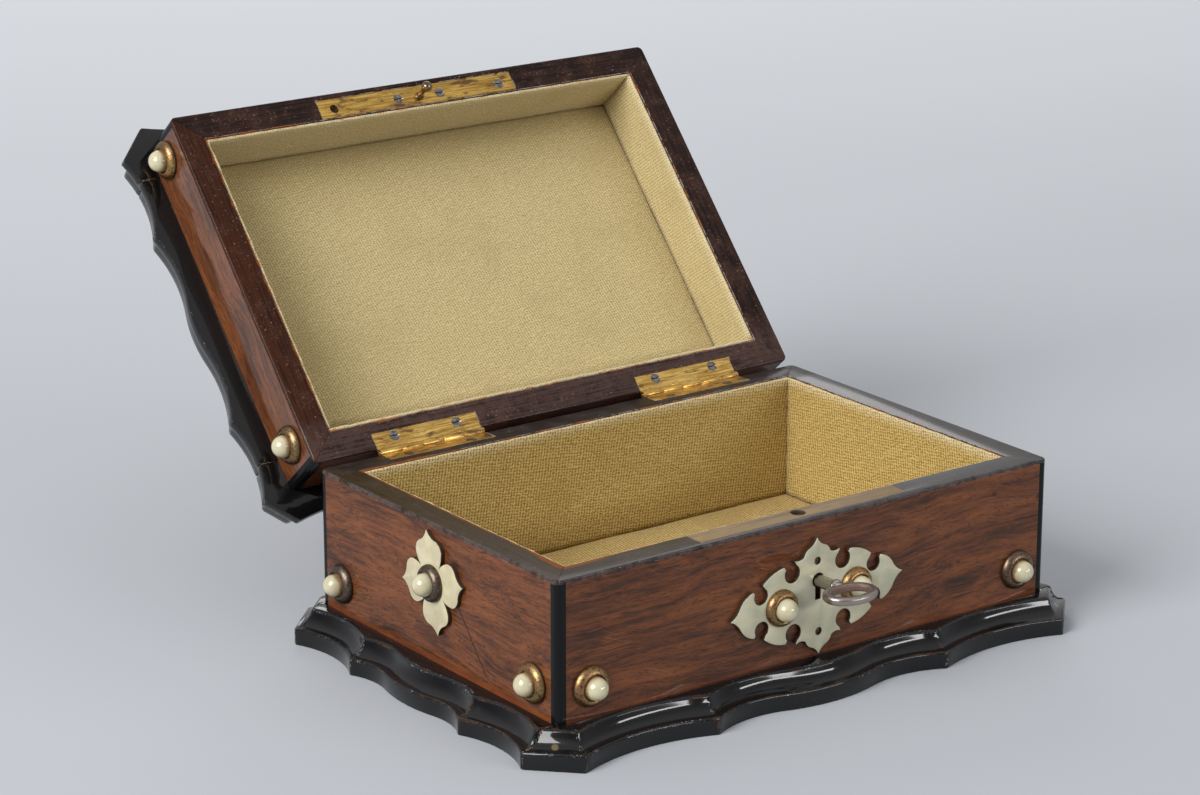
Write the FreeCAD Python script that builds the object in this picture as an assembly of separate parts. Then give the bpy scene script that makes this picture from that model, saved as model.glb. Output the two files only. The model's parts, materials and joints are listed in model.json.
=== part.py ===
import FreeCAD, Part
import math
import os

# An antique glove box in rosewood veneer, with scalloped ebonised mouldings round its foot and its lid.
# Millimetres. The box stands on z = 0, centred on the origin, with its front towards -Y.
# The lid is drawn shut and then turned open about its hinge pins, which is how the box stands.

V = FreeCAD.Vector
ORIGIN = V(0, 0, 0)
ALONG_X = V(1, 0, 0)
ALONG_Y = V(0, 1, 0)
ALONG_Z = V(0, 0, 1)

# Case, shared by the body and the lid
case_length = 240.0
case_depth = 160.0
wall = 12.0
veneer = 1.2
lipping = 1.5
lipping_round = 0.8
corner_strip = 4.0
corner_round = 2.5
lining = 1.5
lining_drop = 0.3
overrun = 1.0

# Body
rim_height = 70.0
board = 16.0

# Lid
rim_gap = 0.3
lid_wall_height = 25.0
lid_recess = 25.5
top_drop = 0.5
lid_open_angle = 131.5

# Moulding round the foot: its height and reach, the straight fascia, and the scallops of each side
moulding_height = 14.0
moulding_reach = 15.0
fascia = 6.4
profile_depth = 7.2
corner_inset = 2.0
joint_gap = 0.15
front_end_hollow = 6.2
front_cusp_at = 56.4
front_hollow_at = 35.0
front_hollow = 5.5
front_swell_drop = 0.1
side_end_hollow = 4.9
side_cusp_at = 37.2
side_hollow_at = 23.5
side_hollow = 3.6
side_swell_drop = 0.7

# Moulding round the lid: lighter, set back in front, and its side scallops a little toward the hinges
lid_reach = 13.0
lid_front_reach = 10.0
lid_fascia = 3.2
lid_profile_depth = 4.5
lid_corner_inset = 1.0
lid_joint_inset = 14.0
lid_side_shift = 2.5
lid_front_end_hollow = 4.0
lid_front_hollow = 3.8
lid_side_end_hollow = 4.2
lid_side_cusp_at = 43.0
lid_side_hollow_at = 23.5
lid_side_hollow = 4.1
lid_side_swell_drop = 1.4

# Depth behind the fascia and height above it, as shares of the profile's depth and of the height left
profile_shares = [
    (0.0, 0.0), (0.06, 0.07), (0.21, 0.10), (0.43, 0.17),
    (0.64, 0.38), (0.79, 0.68), (0.85, 0.90), (1.0, 1.0),
]

# Hinges: two butts with five knuckles, screwed to the rims
hinge_length = 50.0
hinge_inset = 29.3
hinge_setback = 1.8
leaf_width = 7.0
leaf_thickness = 1.0
leaf_fit = 0.1
barrel_radius = 1.55
knuckles = 5
knuckle_gap = 0.16
pin_radius = 0.6
pin_clearance = 0.05
pin_overhang = 0.3
hinge_screw_spread = 15.0
hinge_screw_inset = 4.5

# Countersunk wood screws
screw_head_radius = 2.3
screw_shank_radius = 0.95
screw_length = 7.5
screw_slot = 0.5
screw_slot_depth = 0.5
screw_clearance = 0.05

# Lock strip in the front rim and strike plate in the lid's
lock_x = -2.0
strip_length = 100.0
strip_setback = 3.0
strike_x = -2.3
strike_length = 98.2
strike_setback = 2.7
strike_width = 8.7
strike_thickness = 1.2
strike_fit = 0.1
strike_spare_radius = 2.0
strike_row_inset = 7.5
# Its screws and the hole that has lost its screw, as shares of half its length from its middle
strike_screw_shares = [-0.20, 0.228, 0.851]
strike_spare_share = -0.853

# Strike pin: a ball on a neck that the bolt catches
pin_x = -1.6
pin_inset = 7.7
ball_radius = 2.3
ball_drop = 7.7
neck_radius = 1.1
shoulder_radius = 2.0
shoulder_length = 1.5
rivet_radius = 1.2
rivet_length = 5.0
pin_hole_radius = 2.8
rivet_clearance = 0.05

# Lock case, let into the front wall from inside
lock_width = 60.0
lock_height = 37.5
lock_depth = 7.0
lock_sheet = 1.0
lock_top_sheet = 1.2
lock_plate = 1.2
lock_plate_margin = 6.0
lock_fit = 0.1
lock_screw_inset = 3.0
lock_screw_length = 6.5

# Key, a pipe key turned a quarter from the way it goes in
key_x = 1.0
key_height = 45.0
key_radius = 2.45
key_bore_clearance = 0.06
key_bore_depth = 12.0
key_shank_out = 14.0
key_end_gap = 0.8
key_turn_clearance = 0.08
drill_radius = 1.1
drill_length = 11.0
bit_reach = 7.0
bit_length = 3.6
bit_thickness = 2.0
bit_play = 0.2
bow_half_width = 11.6
bow_half_depth = 8.5
bow_end_radius = 7.1
bow_band = 3.4
bow_thickness = 3.2
bow_round = 1.2
key_collar_radius = 3.2
key_collar_length = 1.6
key_collar_back = 1.0

# Bolt
bolt_travel = 6.5
bolt_plate = 2.0
bolt_play = 0.8
flange_thickness = 1.2
flange_lift = 0.4
flange_side_play = 0.2
flange_margin = 1.7
neck_slot_half = 1.5
arm_gap = 0.4
arm_width = 8.0
bar_lift = 5.0
bar_height = 3.5
tail_width = 3.0
tail_gap = 8.5
tail_foot = 8.5
tail_bar = 3.5
talon_half = 2.7
talon_width = 2.5
talon_clear = 4.2
tail_end = 3.0
spring_thickness = 0.5
spring_rise = 3.5
spring_flat = 9.0
spring_run = 24.0
spring_seat = 0.3

# Studs: a flared collar round a domed bead
collar_radius = 8.0
plate_collar_radius = 7.4
collar_height = 3.2
bead_radius = 4.5
bead_gap = 0.35
bead_height = 8.3
# Collar section beyond its bore, as shares of what is left of its radius, and of its height:
# its rolled edge, the swelling flare and the lip round the bore
collar_edge_share = (1.0, 0.25)
collar_flare_shares = [(0.76, 0.70), (0.26, 1.0)]
collar_lip_shares = [(0.08, 0.95), (0.0, 0.78)]
stud_inset = 15.0
stud_height = 26.4
lid_front_stud_inset = 11.5
lid_back_stud_inset = 14.3
lid_front_stud_rise = 14.6
lid_back_stud_rise = 11.8

# Escutcheon: a fretted plate of bone
plate_thickness = 2.0
escutcheon_x = 1.0
escutcheon_height = 38.5
escutcheon_half_width = 42.4
escutcheon_half_height = 23.7
escutcheon_turn = 2.0
escutcheon_stud_spread = 18.3
escutcheon_pin_spread = 14.4
escutcheon_pin_radius = 1.5
escutcheon_pin_fit = 0.1
escutcheon_pin_height = 1.1
keyhole_radius = 2.9
keyhole_slot_half = 1.4
keyhole_slot_reach = 7.8
# One quarter of its outline from the top point to the right-hand one, as shares of the half sizes:
# each row is a point on the way, or None where the edge is straight, and then the point it ends at
escutcheon_start_share = (0.0, 1.0)
escutcheon_quarter_shares = [
    ((0.040, 0.905), (0.078, 0.860)),
    ((0.128, 0.800), (0.149, 0.728)),
    ((0.190, 0.697), (0.262, 0.717)),
    (None, (0.241, 0.641)),
    ((0.292, 0.354), (0.363, 0.604)),
    (None, (0.382, 0.658)),
    ((0.509, 0.600), (0.627, 0.464)),
    (None, (0.600, 0.392)),
    ((0.651, 0.143), (0.722, 0.346)),
    (None, (0.736, 0.392)),
    ((0.833, 0.308), (0.889, 0.177)),
    ((0.932, 0.075), (1.0, 0.0)),
]

# Quatrefoil plate on each side
quatrefoil_span = 20.7
quatrefoil_y = -1.5
quatrefoil_height = 46.8
quatrefoil_turn = 10.0
# Half of one petal from the notch to its point, as shares of the span: along the petal, and across it
petal_notch_share = (0.293, 0.293)
petal_shares = [
    ((0.427, 0.373), (0.572, 0.413)),
    ((0.720, 0.365), (0.798, 0.236)),
    ((0.874, 0.096), (1.0, 0.0)),
]

# Derived places
half_x = case_length / 2
half_y = case_depth / 2
core_x = half_x - veneer
core_y = half_y - veneer
inner_x = half_x - wall
inner_y = half_y - wall
lid_rim = rim_height + rim_gap
lid_board_under = lid_rim + lid_recess + lining
lid_moulding_foot = lid_rim + lid_wall_height
lid_veneer_top = lid_moulding_foot + moulding_height - top_drop
lid_board_top = lid_veneer_top - veneer
hinge_centre = half_x - hinge_inset - hinge_length / 2
hinge_y = half_y + hinge_setback
hinge_z = rim_height + rim_gap / 2
pin_y = -half_y + pin_inset
lock_front = -inner_y - lock_plate - lock_depth
lock_back = -inner_y - lock_plate
lock_top = rim_height - lipping
lock_foot = lock_top - lock_height


def block(x0, x1, y0, y1, z0, z1):
    """A box between two corners."""
    return Part.makeBox(x1 - x0, y1 - y0, z1 - z0, V(x0, y0, z0))


def both_ways(shape, normal):
    """A shape and its mirror image across the plane through the origin."""
    return [shape, shape.mirror(ORIGIN, normal)]


def case_block(z0, z1):
    """The case's own outline, solid, with its upright corners rounded."""
    solid = block(-half_x, half_x, -half_y, half_y, z0, z1)
    return solid.makeFillet(corner_round, [e for e in solid.Edges if e.BoundBox.ZLength > (z1 - z0) / 2])


def open_lid(shape):
    """Turns a piece of the shut lid to where the open lid holds it."""
    turned = shape.copy()
    turned.rotate(V(0, hinge_y, hinge_z), ALONG_X, -lid_open_angle)
    return turned


def save(name, solids):
    """Writes one node, a single solid or a group of separate ones."""
    shape = solids[0] if len(solids) == 1 else Part.makeCompound(solids)
    shape.exportStep("parts/" + name + ".step")
    print(name, len(shape.Solids), "valid" if shape.isValid() else "NOT VALID", round(shape.Volume, 1))


def save_lid(name, solids):
    """Writes one node of the lid, turned open."""
    save(name, [open_lid(solid) for solid in solids])


# Case work

def corner_strips(z0, z1):
    """Four upright strips with a rounded outer arris, one in each corner."""
    strip = block(half_x - corner_strip, half_x, half_y - corner_strip, half_y, z0, z1)
    outer = [e for e in strip.Edges if e.BoundBox.XMin > half_x - corner_strip / 2
             and e.BoundBox.YMin > half_y - corner_strip / 2]
    strip = strip.makeFillet(corner_round, outer)
    return [s for one in both_ways(strip, ALONG_X) for s in both_ways(one, ALONG_Y)]


def corner_cutters(z0, z1):
    """The square rebates that the corner strips sit in."""
    square = block(half_x - corner_strip, half_x, half_y - corner_strip, half_y, z0, z1)
    return [s for one in both_ways(square, ALONG_X) for s in both_ways(one, ALONG_Y)]


def core_front(z0, z1):
    """The front wall under its veneer; the back wall is its mirror image."""
    front = block(-core_x, core_x, -core_y, -inner_y, z0, z1)
    return front.cut(corner_cutters(z0, z1))


def core_sides(z0, z1):
    """The two side walls, which stand between front and back."""
    return both_ways(block(inner_x, core_x, -inner_y, inner_y, z0, z1), ALONG_X)


def face_veneer_front(z0, z1):
    """The front sheet of veneer, between the corner strips."""
    return block(corner_strip - half_x, half_x - corner_strip, -half_y, -core_y, z0, z1)


def face_veneer_sides(z0, z1):
    """The two side sheets of veneer."""
    return both_ways(block(core_x, half_x, corner_strip - half_y, half_y - corner_strip, z0, z1), ALONG_X)


def core_board(z0, z1):
    """The board that closes the case, inside the veneer."""
    return block(-core_x, core_x, -core_y, core_y, z0, z1).cut(corner_cutters(z0, z1))


def rim_strips(z0, z1, round_z):
    """Front, back and side lippings, mitred, with the outer edge rounded at round_z."""
    half = (z1 - z0) / 2
    ring = case_block(z0, z1)
    ring = ring.makeFillet(lipping_round, [e for e in ring.Edges if e.BoundBox.ZLength < half
                                           and abs(e.BoundBox.ZMin - round_z) < half])
    ring = ring.cut(block(-inner_x, inner_x, -inner_y, inner_y, z0 - overrun, z1 + overrun))

    def mitred(points):
        corners = [V(x, y, z0 - overrun) for x, y in points]
        prism = Part.Face(Part.makePolygon(corners + corners[:1])).extrude(V(0, 0, z1 - z0 + 2 * overrun))
        return ring.common(prism)

    far_x, far_y = half_x + overrun, half_y + overrun
    front = mitred([(-far_x, -far_y), (far_x, -far_y), (inner_x, -inner_y), (-inner_x, -inner_y)])
    side = mitred([(far_x, -far_y), (far_x, far_y), (inner_x, inner_y), (inner_x, -inner_y)])
    return front, front.mirror(ORIGIN, ALONG_Y), both_ways(side, ALONG_X)


def wall_linings(z0, z1):
    """Lining panels for the front wall and the two sides; the back is the front's mirror image."""
    front = block(-inner_x, inner_x, -inner_y, lining - inner_y, z0, z1)
    side = block(inner_x - lining, inner_x, lining - inner_y, inner_y - lining, z0, z1)
    return front, both_ways(side, ALONG_X)


# Scalloped moulding

def scallops(corner, reach, end_hollow, cusp_at, hollow_at, hollow, swell_drop):
    """Centre and radius of the end hollow, middle hollow and swell of one side, and its chamfer's line.

    u runs along the side from its middle and v runs outward from the wall. The chamfer starts at
    u = corner and v = reach.
    """
    end_half = (corner - cusp_at) / 2
    end_radius = (end_half ** 2 + end_hollow ** 2) / (2 * end_hollow)
    end = (cusp_at + end_half, reach - end_hollow + end_radius, end_radius)
    run = cusp_at - hollow_at
    radius = (run ** 2 + hollow ** 2) / (2 * hollow)
    middle = (hollow_at, reach - hollow + radius, radius)
    top = reach - swell_drop
    rise = middle[1] - top
    swell_radius = (hollow_at ** 2 + rise ** 2 - radius ** 2) / (2 * (radius - rise))
    swell = (0, top - swell_radius, swell_radius)
    return {"chamfer": corner + reach, "end": end, "middle": middle, "swell": swell}


def lower_meeting(a, b):
    """Where two circles meet, the point nearer the wall."""
    du, dv = b[0] - a[0], b[1] - a[1]
    apart = math.hypot(du, dv)
    along = (a[2] ** 2 - b[2] ** 2 + apart ** 2) / (2 * apart)
    aside = math.sqrt(a[2] ** 2 - along ** 2)
    u, v = a[0] + along * du / apart, a[1] + along * dv / apart
    return min([(u - aside * dv / apart, v + aside * du / apart),
                (u + aside * dv / apart, v - aside * du / apart)], key=lambda p: p[1])


def chamfer_meeting(circle, total):
    """Where a circle meets the corner chamfer, the line u + v = total."""
    u0, v0, radius = circle
    shift = total - u0 - v0
    return (u0 + shift / 2 + math.sqrt(radius ** 2 / 2 - shift ** 2 / 4),
            v0 + shift / 2 - math.sqrt(radius ** 2 / 2 - shift ** 2 / 4))


def between(circle, p, q):
    """The point of a circle midway between two of its points."""
    u, v = (p[0] + q[0]) / 2 - circle[0], (p[1] + q[1]) / 2 - circle[1]
    away = math.hypot(u, v)
    return circle[0] + circle[2] * u / away, circle[1] + circle[2] * v / away


def side_line(side, depth):
    """The outline of one side at a depth behind the fascia: its points, and a point within each arc."""
    end = (side["end"][0], side["end"][1], side["end"][2] + depth)
    middle = (side["middle"][0], side["middle"][1], side["middle"][2] + depth)
    swell = (0, side["swell"][1], side["swell"][2] - depth)
    du, dv = middle[0], middle[1] - swell[1]
    away = math.hypot(du, dv)
    joins = [
        (swell[2] * du / away, swell[1] + swell[2] * dv / away),
        lower_meeting(middle, end),
        chamfer_meeting(end, side["chamfer"] - depth * math.sqrt(2)),
    ]
    arcs = [between(middle, joins[0], joins[1]), between(end, joins[1], joins[2])]
    left = [(-u, v) for u, v in reversed(joins)]
    left_arcs = [(-u, v) for u, v in reversed(arcs)]
    return left + joins, left_arcs + [(0, swell[1] + swell[2])] + arcs


def four_sides(front, side, back, shift):
    """Front, right, back and left of a moulding, each with what places its points.

    The scallops of both sides lie a shift behind the middle.
    """
    return [
        (front, lambda u, v, z: V(u, -half_y - v, z)),
        (side, lambda u, v, z: V(half_x + v, shift + u, z)),
        (back, lambda u, v, z: V(-u, half_y + v, z)),
        (side, lambda u, v, z: V(-half_x - v, shift - u, z)),
    ]


def foot_moulding_sides():
    """The scallops round the foot, the same in front and behind."""
    front = scallops(half_x - corner_inset, moulding_reach, front_end_hollow, front_cusp_at,
                     front_hollow_at, front_hollow, front_swell_drop)
    side = scallops(half_y - corner_inset, moulding_reach, side_end_hollow, side_cusp_at,
                    side_hollow_at, side_hollow, side_swell_drop)
    return four_sides(front, side, front, 0)


def lid_moulding_sides():
    """The scallops round the lid, whose front and back end where the sides' chamfers bring them."""
    corner = half_y - lid_corner_inset
    chamfer = half_x + lid_reach + corner

    def long_side(reach, shift):
        return scallops(chamfer + shift - half_y - reach, reach, lid_front_end_hollow, front_cusp_at,
                        front_hollow_at, lid_front_hollow, front_swell_drop)

    side = scallops(corner, lid_reach, lid_side_end_hollow, lid_side_cusp_at, lid_side_hollow_at,
                    lid_side_hollow, lid_side_swell_drop)
    return four_sides(long_side(lid_front_reach, -lid_side_shift), side,
                      long_side(lid_reach, lid_side_shift), lid_side_shift)


def moulding_outline(sides, depth, z):
    """The whole scalloped outline at one depth and height."""
    edges = []
    for side, place in sides:
        joins, arcs = side_line(side, depth)
        points = [place(u, v, z) for u, v in joins]
        middles = [place(u, v, z) for u, v in arcs]
        if edges:
            edges.append(Part.LineSegment(last, points[0]).toShape())
        else:
            first = points[0]
        edges += [Part.Arc(p, m, q).toShape() for p, m, q in zip(points, middles, points[1:])]
        last = points[-1]
    edges.append(Part.LineSegment(last, first).toShape())
    return Part.Wire(edges)


def moulding(sides, z, plain, profile, joint):
    """The four lengths of a moulding with its foot at z: front, back, and the two sides.

    plain is the fascia's height, profile the depth behind it, and joint where the sides end.
    """
    rise = moulding_height - plain
    levels = [(0, 0)] + [(a * profile, plain + b * rise) for a, b in profile_shares]
    ring = Part.makeLoft([moulding_outline(sides, d, z + h) for d, h in levels], True, True)
    ring = ring.cut(case_block(z - overrun, z + moulding_height + overrun))
    far = case_length
    z0, z1 = z - overrun, z + moulding_height + overrun
    front = ring.common(block(-far, far, -far, -joint, z0, z1))
    back = ring.common(block(-far, far, joint, far, z0, z1))
    side = ring.common(block(0, far, joint_gap - joint, joint - joint_gap, z0, z1))
    return front, back, both_ways(side, ALONG_X)


# Screws

def screw(at, up, length, plate):
    """A countersunk screw whose head is flush at a point and whose shank runs against up."""
    down = up * -1
    head = Part.makeCone(screw_head_radius, screw_shank_radius, plate, at, down)
    shank = Part.makeCylinder(screw_shank_radius, length, at + down * plate, down)
    across = ALONG_Z if abs(up.y) > 0 else ALONG_Y
    turn = up.cross(across)
    corner = at - across * (screw_slot / 2) - turn * screw_head_radius + down * screw_slot_depth
    slot = Part.Face(Part.makePolygon([
        corner, corner + across * screw_slot, corner + across * screw_slot + turn * (2 * screw_head_radius),
        corner + turn * (2 * screw_head_radius), corner,
    ])).extrude(up * (2 * screw_slot_depth))
    return head.fuse(shank).removeSplitter().cut(slot)


def screw_hole(at, up, length, plate):
    """The countersink and pilot hole for a screw."""
    down = up * -1
    mouth, bore = screw_head_radius + screw_clearance, screw_shank_radius + screw_clearance
    head = Part.makeCone(mouth, bore, plate, at, down)
    pilot = Part.makeCylinder(bore, length + screw_clearance, at + down * plate, down)
    return head.fuse(pilot)


# Hinges

def hinge_leaf(centre, z0, z1, odd):
    """One leaf with its share of the knuckles: the body's have the odd places and the lid's the even."""
    left = centre - hinge_length / 2
    leaf = block(left, left + hinge_length, half_y - leaf_width, half_y, z0, z1)
    step = hinge_length / knuckles
    for i in range(knuckles):
        if (i % 2 == 1) != odd:
            continue
        x0 = left + i * step + (knuckle_gap / 2 if i else 0)
        x1 = left + (i + 1) * step - (knuckle_gap / 2 if i < knuckles - 1 else 0)
        leaf = leaf.fuse(block(x0, x1, half_y - veneer, hinge_y, z0, z1))
        leaf = leaf.fuse(Part.makeCylinder(barrel_radius, x1 - x0, V(x0, hinge_y, hinge_z), ALONG_X))
    bore = Part.makeCylinder(pin_radius + pin_clearance, hinge_length + 2 * overrun,
                             V(left - overrun, hinge_y, hinge_z), ALONG_X)
    return leaf.removeSplitter().cut(bore)


def hinge_pin(centre):
    """The pin through all five knuckles."""
    return Part.makeCylinder(pin_radius, hinge_length + 2 * pin_overhang,
                             V(centre - hinge_length / 2 - pin_overhang, hinge_y, hinge_z), ALONG_X)


def leaf_recess(centre, z0, z1):
    """The recess that a leaf is let into."""
    half = hinge_length / 2 + leaf_fit
    return block(centre - half, centre + half, half_y - leaf_width - leaf_fit, half_y + overrun, z0, z1)


def hinge_screw_points(z):
    """Where the screws of both hinges go."""
    return [V(side * hinge_centre + way * hinge_screw_spread, half_y - hinge_screw_inset, z)
            for side in (-1, 1) for way in (-1, 1)]


# Lock

def keyhole(radius, slot_half, reach, y0, y1):
    """A round hole with a slot below it, through y0 to y1."""
    hole = Part.makeCylinder(radius, y1 - y0, V(key_x, y0, key_height), ALONG_Y)
    slot = block(key_x - slot_half, key_x + slot_half, y0, y1, key_height - reach, key_height)
    return hole.fuse(slot)


def pin_hole(z0, z1):
    """The round hole over the bolt that the strike pin drops through."""
    return Part.makeCylinder(pin_hole_radius, z1 - z0, V(pin_x, pin_y, z0), ALONG_Z)


def lock_case():
    """A shallow pan of sheet brass, open at the back, with the keyhole in front and the pin hole on top."""
    x0, x1 = lock_x - lock_width / 2, lock_x + lock_width / 2
    pan = block(x0, x1, lock_front, lock_back, lock_foot, lock_top)
    inside = block(x0 + lock_sheet, x1 - lock_sheet, lock_front + lock_sheet, lock_back,
                   lock_foot + lock_sheet, lock_top - lock_top_sheet)
    hole = keyhole(key_radius + key_turn_clearance, keyhole_slot_half, keyhole_slot_reach,
                   lock_front - overrun, lock_front + lock_sheet + overrun)
    return pan.cut([inside, hole, pin_hole(lock_top - 2 * lock_top_sheet, lock_top + overrun)])


def lock_plate_span(margin):
    """Corners of the lock's back plate in x and z, grown by a margin."""
    return (lock_x - lock_width / 2 - margin, lock_x + lock_width / 2 + margin, lock_foot - margin, lock_top)


def lock_screw_points():
    """Where the four screws of the back plate go."""
    x0, x1, z0, z1 = lock_plate_span(lock_plate_margin)
    inset = lock_screw_inset
    return [V(x, -inner_y, z) for x in (x0 + inset, x1 - inset) for z in (z0 + inset, z1 - 2 * inset)]


def lock_back_plate():
    """The flat plate that closes the case and takes the screws."""
    x0, x1, z0, z1 = lock_plate_span(lock_plate_margin)
    plate = block(x0, x1, lock_back, -inner_y, z0, z1)
    return plate.cut([screw_hole(p, ALONG_Y, lock_screw_length, lock_plate) for p in lock_screw_points()])


def lock_mortise():
    """What is cut from the front wall for the lock and its keyhole."""
    x0, x1, z0, z1 = lock_plate_span(lock_fit)
    case = block(x0, x1, lock_front - lock_fit, -inner_y + overrun, z0, z1 + overrun)
    x0, x1, z0, z1 = lock_plate_span(lock_plate_margin + lock_fit)
    plate = block(x0, x1, lock_back, -inner_y + overrun, z0, z1 + overrun)
    hole = keyhole(keyhole_radius, keyhole_slot_half, keyhole_slot_reach, -half_y - overrun, lock_back)
    screws = [screw_hole(p, ALONG_Y, lock_screw_length, lock_plate) for p in lock_screw_points()]
    return [case, plate, hole] + screws


def drill_pin():
    """The fixed pin that the pipe key turns on."""
    return Part.makeCylinder(drill_radius, drill_length,
                             V(key_x, lock_back - drill_length, key_height), ALONG_Y)


def bolt():
    """The sliding bolt, drawn back: a slotted flange, a bar over the key and two lugs under it."""
    y1 = lock_back - bolt_play - bolt_plate
    y0 = y1 - bolt_plate
    ball_z = lid_rim - ball_drop
    flange_z = ball_z + ball_radius + flange_lift
    left = pin_x - bolt_travel - pin_hole_radius - flange_margin
    arm_x = pin_x + pin_hole_radius + arm_gap
    right = arm_x + arm_width
    flange = block(left, right, lock_front + lock_sheet + flange_side_play, lock_back - flange_side_play,
                   flange_z, flange_z + flange_thickness)
    slot = block(pin_x - bolt_travel, pin_x, pin_y - neck_slot_half, pin_y + neck_slot_half,
                 flange_z - overrun, flange_z + flange_thickness + overrun)
    slot_end = Part.makeCylinder(neck_slot_half, flange_thickness + 2 * overrun,
                                 V(pin_x - bolt_travel, pin_y, flange_z - overrun), ALONG_Z)
    bar_z = key_height + bar_lift
    arm = block(arm_x, right, y0, y1, bar_z, flange_z)
    tail_x = key_x - bit_reach - tail_gap
    bar = block(tail_x, right, y0, y1, bar_z, bar_z + bar_height)
    foot_z = key_height - tail_foot - tail_bar
    tail = block(tail_x, tail_x + tail_width, y0, y1, foot_z, bar_z + bar_height)
    foot = block(tail_x, key_x + tail_end, y0, y1, foot_z, foot_z + tail_bar)
    notch_x = key_x - bolt_travel
    lugs = [block(x, x + talon_width, y0, y1, foot_z, key_height - talon_clear)
            for x in (notch_x - talon_half - talon_width, notch_x + talon_half)]
    body = flange.cut([slot, slot_end, pin_hole(flange_z - overrun, flange_z + flange_thickness + overrun)])
    return body.fuse([arm, bar, tail, foot] + lugs).removeSplitter()


def spring():
    """A bent strip, held by the side of the case, that bears on the bolt's bar."""
    y1 = lock_back - bolt_play - bolt_plate
    wall_x = lock_x - lock_width / 2 + lock_sheet
    seat = key_height + bar_lift + bar_height + spring_seat
    line = [(wall_x, seat + spring_rise), (wall_x + spring_flat, seat + spring_rise),
            (wall_x + spring_run, seat)]
    low = [V(x, y1 - bolt_plate, z) for x, z in line]
    high = [V(x, y1 - bolt_plate, z + spring_thickness) for x, z in reversed(line)]
    return Part.Face(Part.makePolygon(low + high + low[:1])).extrude(V(0, bolt_plate, 0))


def oval(at, half_width, half_depth, end_radius):
    """A flat oval of four tangent arcs round a point, its long way along x."""
    rise = end_radius ** 2 - half_depth ** 2
    reach = half_width - end_radius
    flat_radius = (reach ** 2 - rise) / (2 * (half_depth - end_radius))
    apart = flat_radius - end_radius
    u = reach + end_radius * reach / apart
    v = end_radius * (flat_radius - half_depth) / apart
    joins = [V(u, -v, 0), V(u, v, 0), V(-u, v, 0), V(-u, -v, 0)]
    middles = [V(half_width, 0, 0), V(0, half_depth, 0), V(-half_width, 0, 0), V(0, -half_depth, 0)]
    return Part.Wire([Part.Arc(at + p, at + m, at + q).toShape()
                      for p, m, q in zip(joins, middles, joins[1:] + joins[:1])])


def key():
    """The pipe key, its bow lying flat and its bit pointing left."""
    tip = lock_back - key_end_gap
    shank_end = -half_y - key_shank_out
    shank = Part.makeCylinder(key_radius, tip - shank_end, V(key_x, shank_end, key_height), ALONG_Y)
    collar = Part.makeCylinder(key_collar_radius, key_collar_length,
                               V(key_x, shank_end + key_collar_back, key_height), ALONG_Y)
    bit_y = lock_front + lock_sheet + bit_play
    bit = block(key_x - bit_reach, key_x, bit_y, bit_y + bit_length,
                key_height - bit_thickness / 2, key_height + bit_thickness / 2)
    bow_y = shank_end - bow_half_depth + bow_band / 2
    low = V(key_x, bow_y, key_height - bow_thickness / 2)
    outer = Part.Face(oval(low, bow_half_width, bow_half_depth, bow_end_radius))
    inner = Part.Face(oval(low, bow_half_width - bow_band, bow_half_depth - bow_band,
                           bow_end_radius - bow_band))
    ring = outer.cut(inner).extrude(V(0, 0, bow_thickness))
    ring = ring.makeFillet(bow_round, [e for e in ring.Edges if e.BoundBox.ZLength < bow_round / 2])
    whole = shank.fuse([collar, bit, ring]).removeSplitter()
    bore = Part.makeCylinder(drill_radius + key_bore_clearance, key_bore_depth,
                             V(key_x, tip - key_bore_depth, key_height), ALONG_Y)
    return whole.cut(bore)


# Strike plate and pin in the lid

def strike_points():
    """Where the strike plate's screws go."""
    return [strike_point(share, lid_rim) for share in strike_screw_shares]


def strike_point(share, z):
    """A point of the strike plate's row of holes, at a share of half its length from its middle."""
    return V(strike_x + share * strike_length / 2, -half_y + strike_row_inset, z)


def strike_plate_block(fit, top):
    """The strike plate's outline, grown by a fit."""
    x0, x1 = strike_x - strike_length / 2 - fit, strike_x + strike_length / 2 + fit
    y0 = -half_y + strike_setback - fit
    return block(x0, x1, y0, y0 + strike_width + 2 * fit, lid_rim - fit, top)


def strike_plate():
    """A flat plate in the lid's rim with three screws, an unused hole and the strike pin."""
    plate = strike_plate_block(0, lid_rim + strike_thickness)
    holes = [screw_hole(p, ALONG_Z * -1, screw_length, strike_thickness) for p in strike_points()]
    spare = Part.makeCylinder(strike_spare_radius, strike_thickness + 2 * overrun,
                              strike_point(strike_spare_share, lid_rim - overrun), ALONG_Z)
    return plate.cut(holes + [spare, rivet_hole()])


def rivet_hole():
    """The hole for the strike pin's tail."""
    return Part.makeCylinder(rivet_radius + rivet_clearance, rivet_length + 2 * rivet_clearance,
                             V(pin_x, pin_y, lid_rim - rivet_clearance), ALONG_Z)


def strike_pin():
    """A turned pin: tail, tapered shoulder, neck and ball."""
    tail = Part.makeCylinder(rivet_radius, rivet_length, V(pin_x, pin_y, lid_rim), ALONG_Z)
    shoulder = Part.makeCone(neck_radius, shoulder_radius, shoulder_length,
                             V(pin_x, pin_y, lid_rim - shoulder_length), ALONG_Z)
    neck = Part.makeCylinder(neck_radius, ball_drop, V(pin_x, pin_y, lid_rim - ball_drop), ALONG_Z)
    ball = Part.makeSphere(ball_radius, V(pin_x, pin_y, lid_rim - ball_drop))
    return tail.fuse([shoulder, neck, ball]).removeSplitter()


# Studs and bone plates

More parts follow.
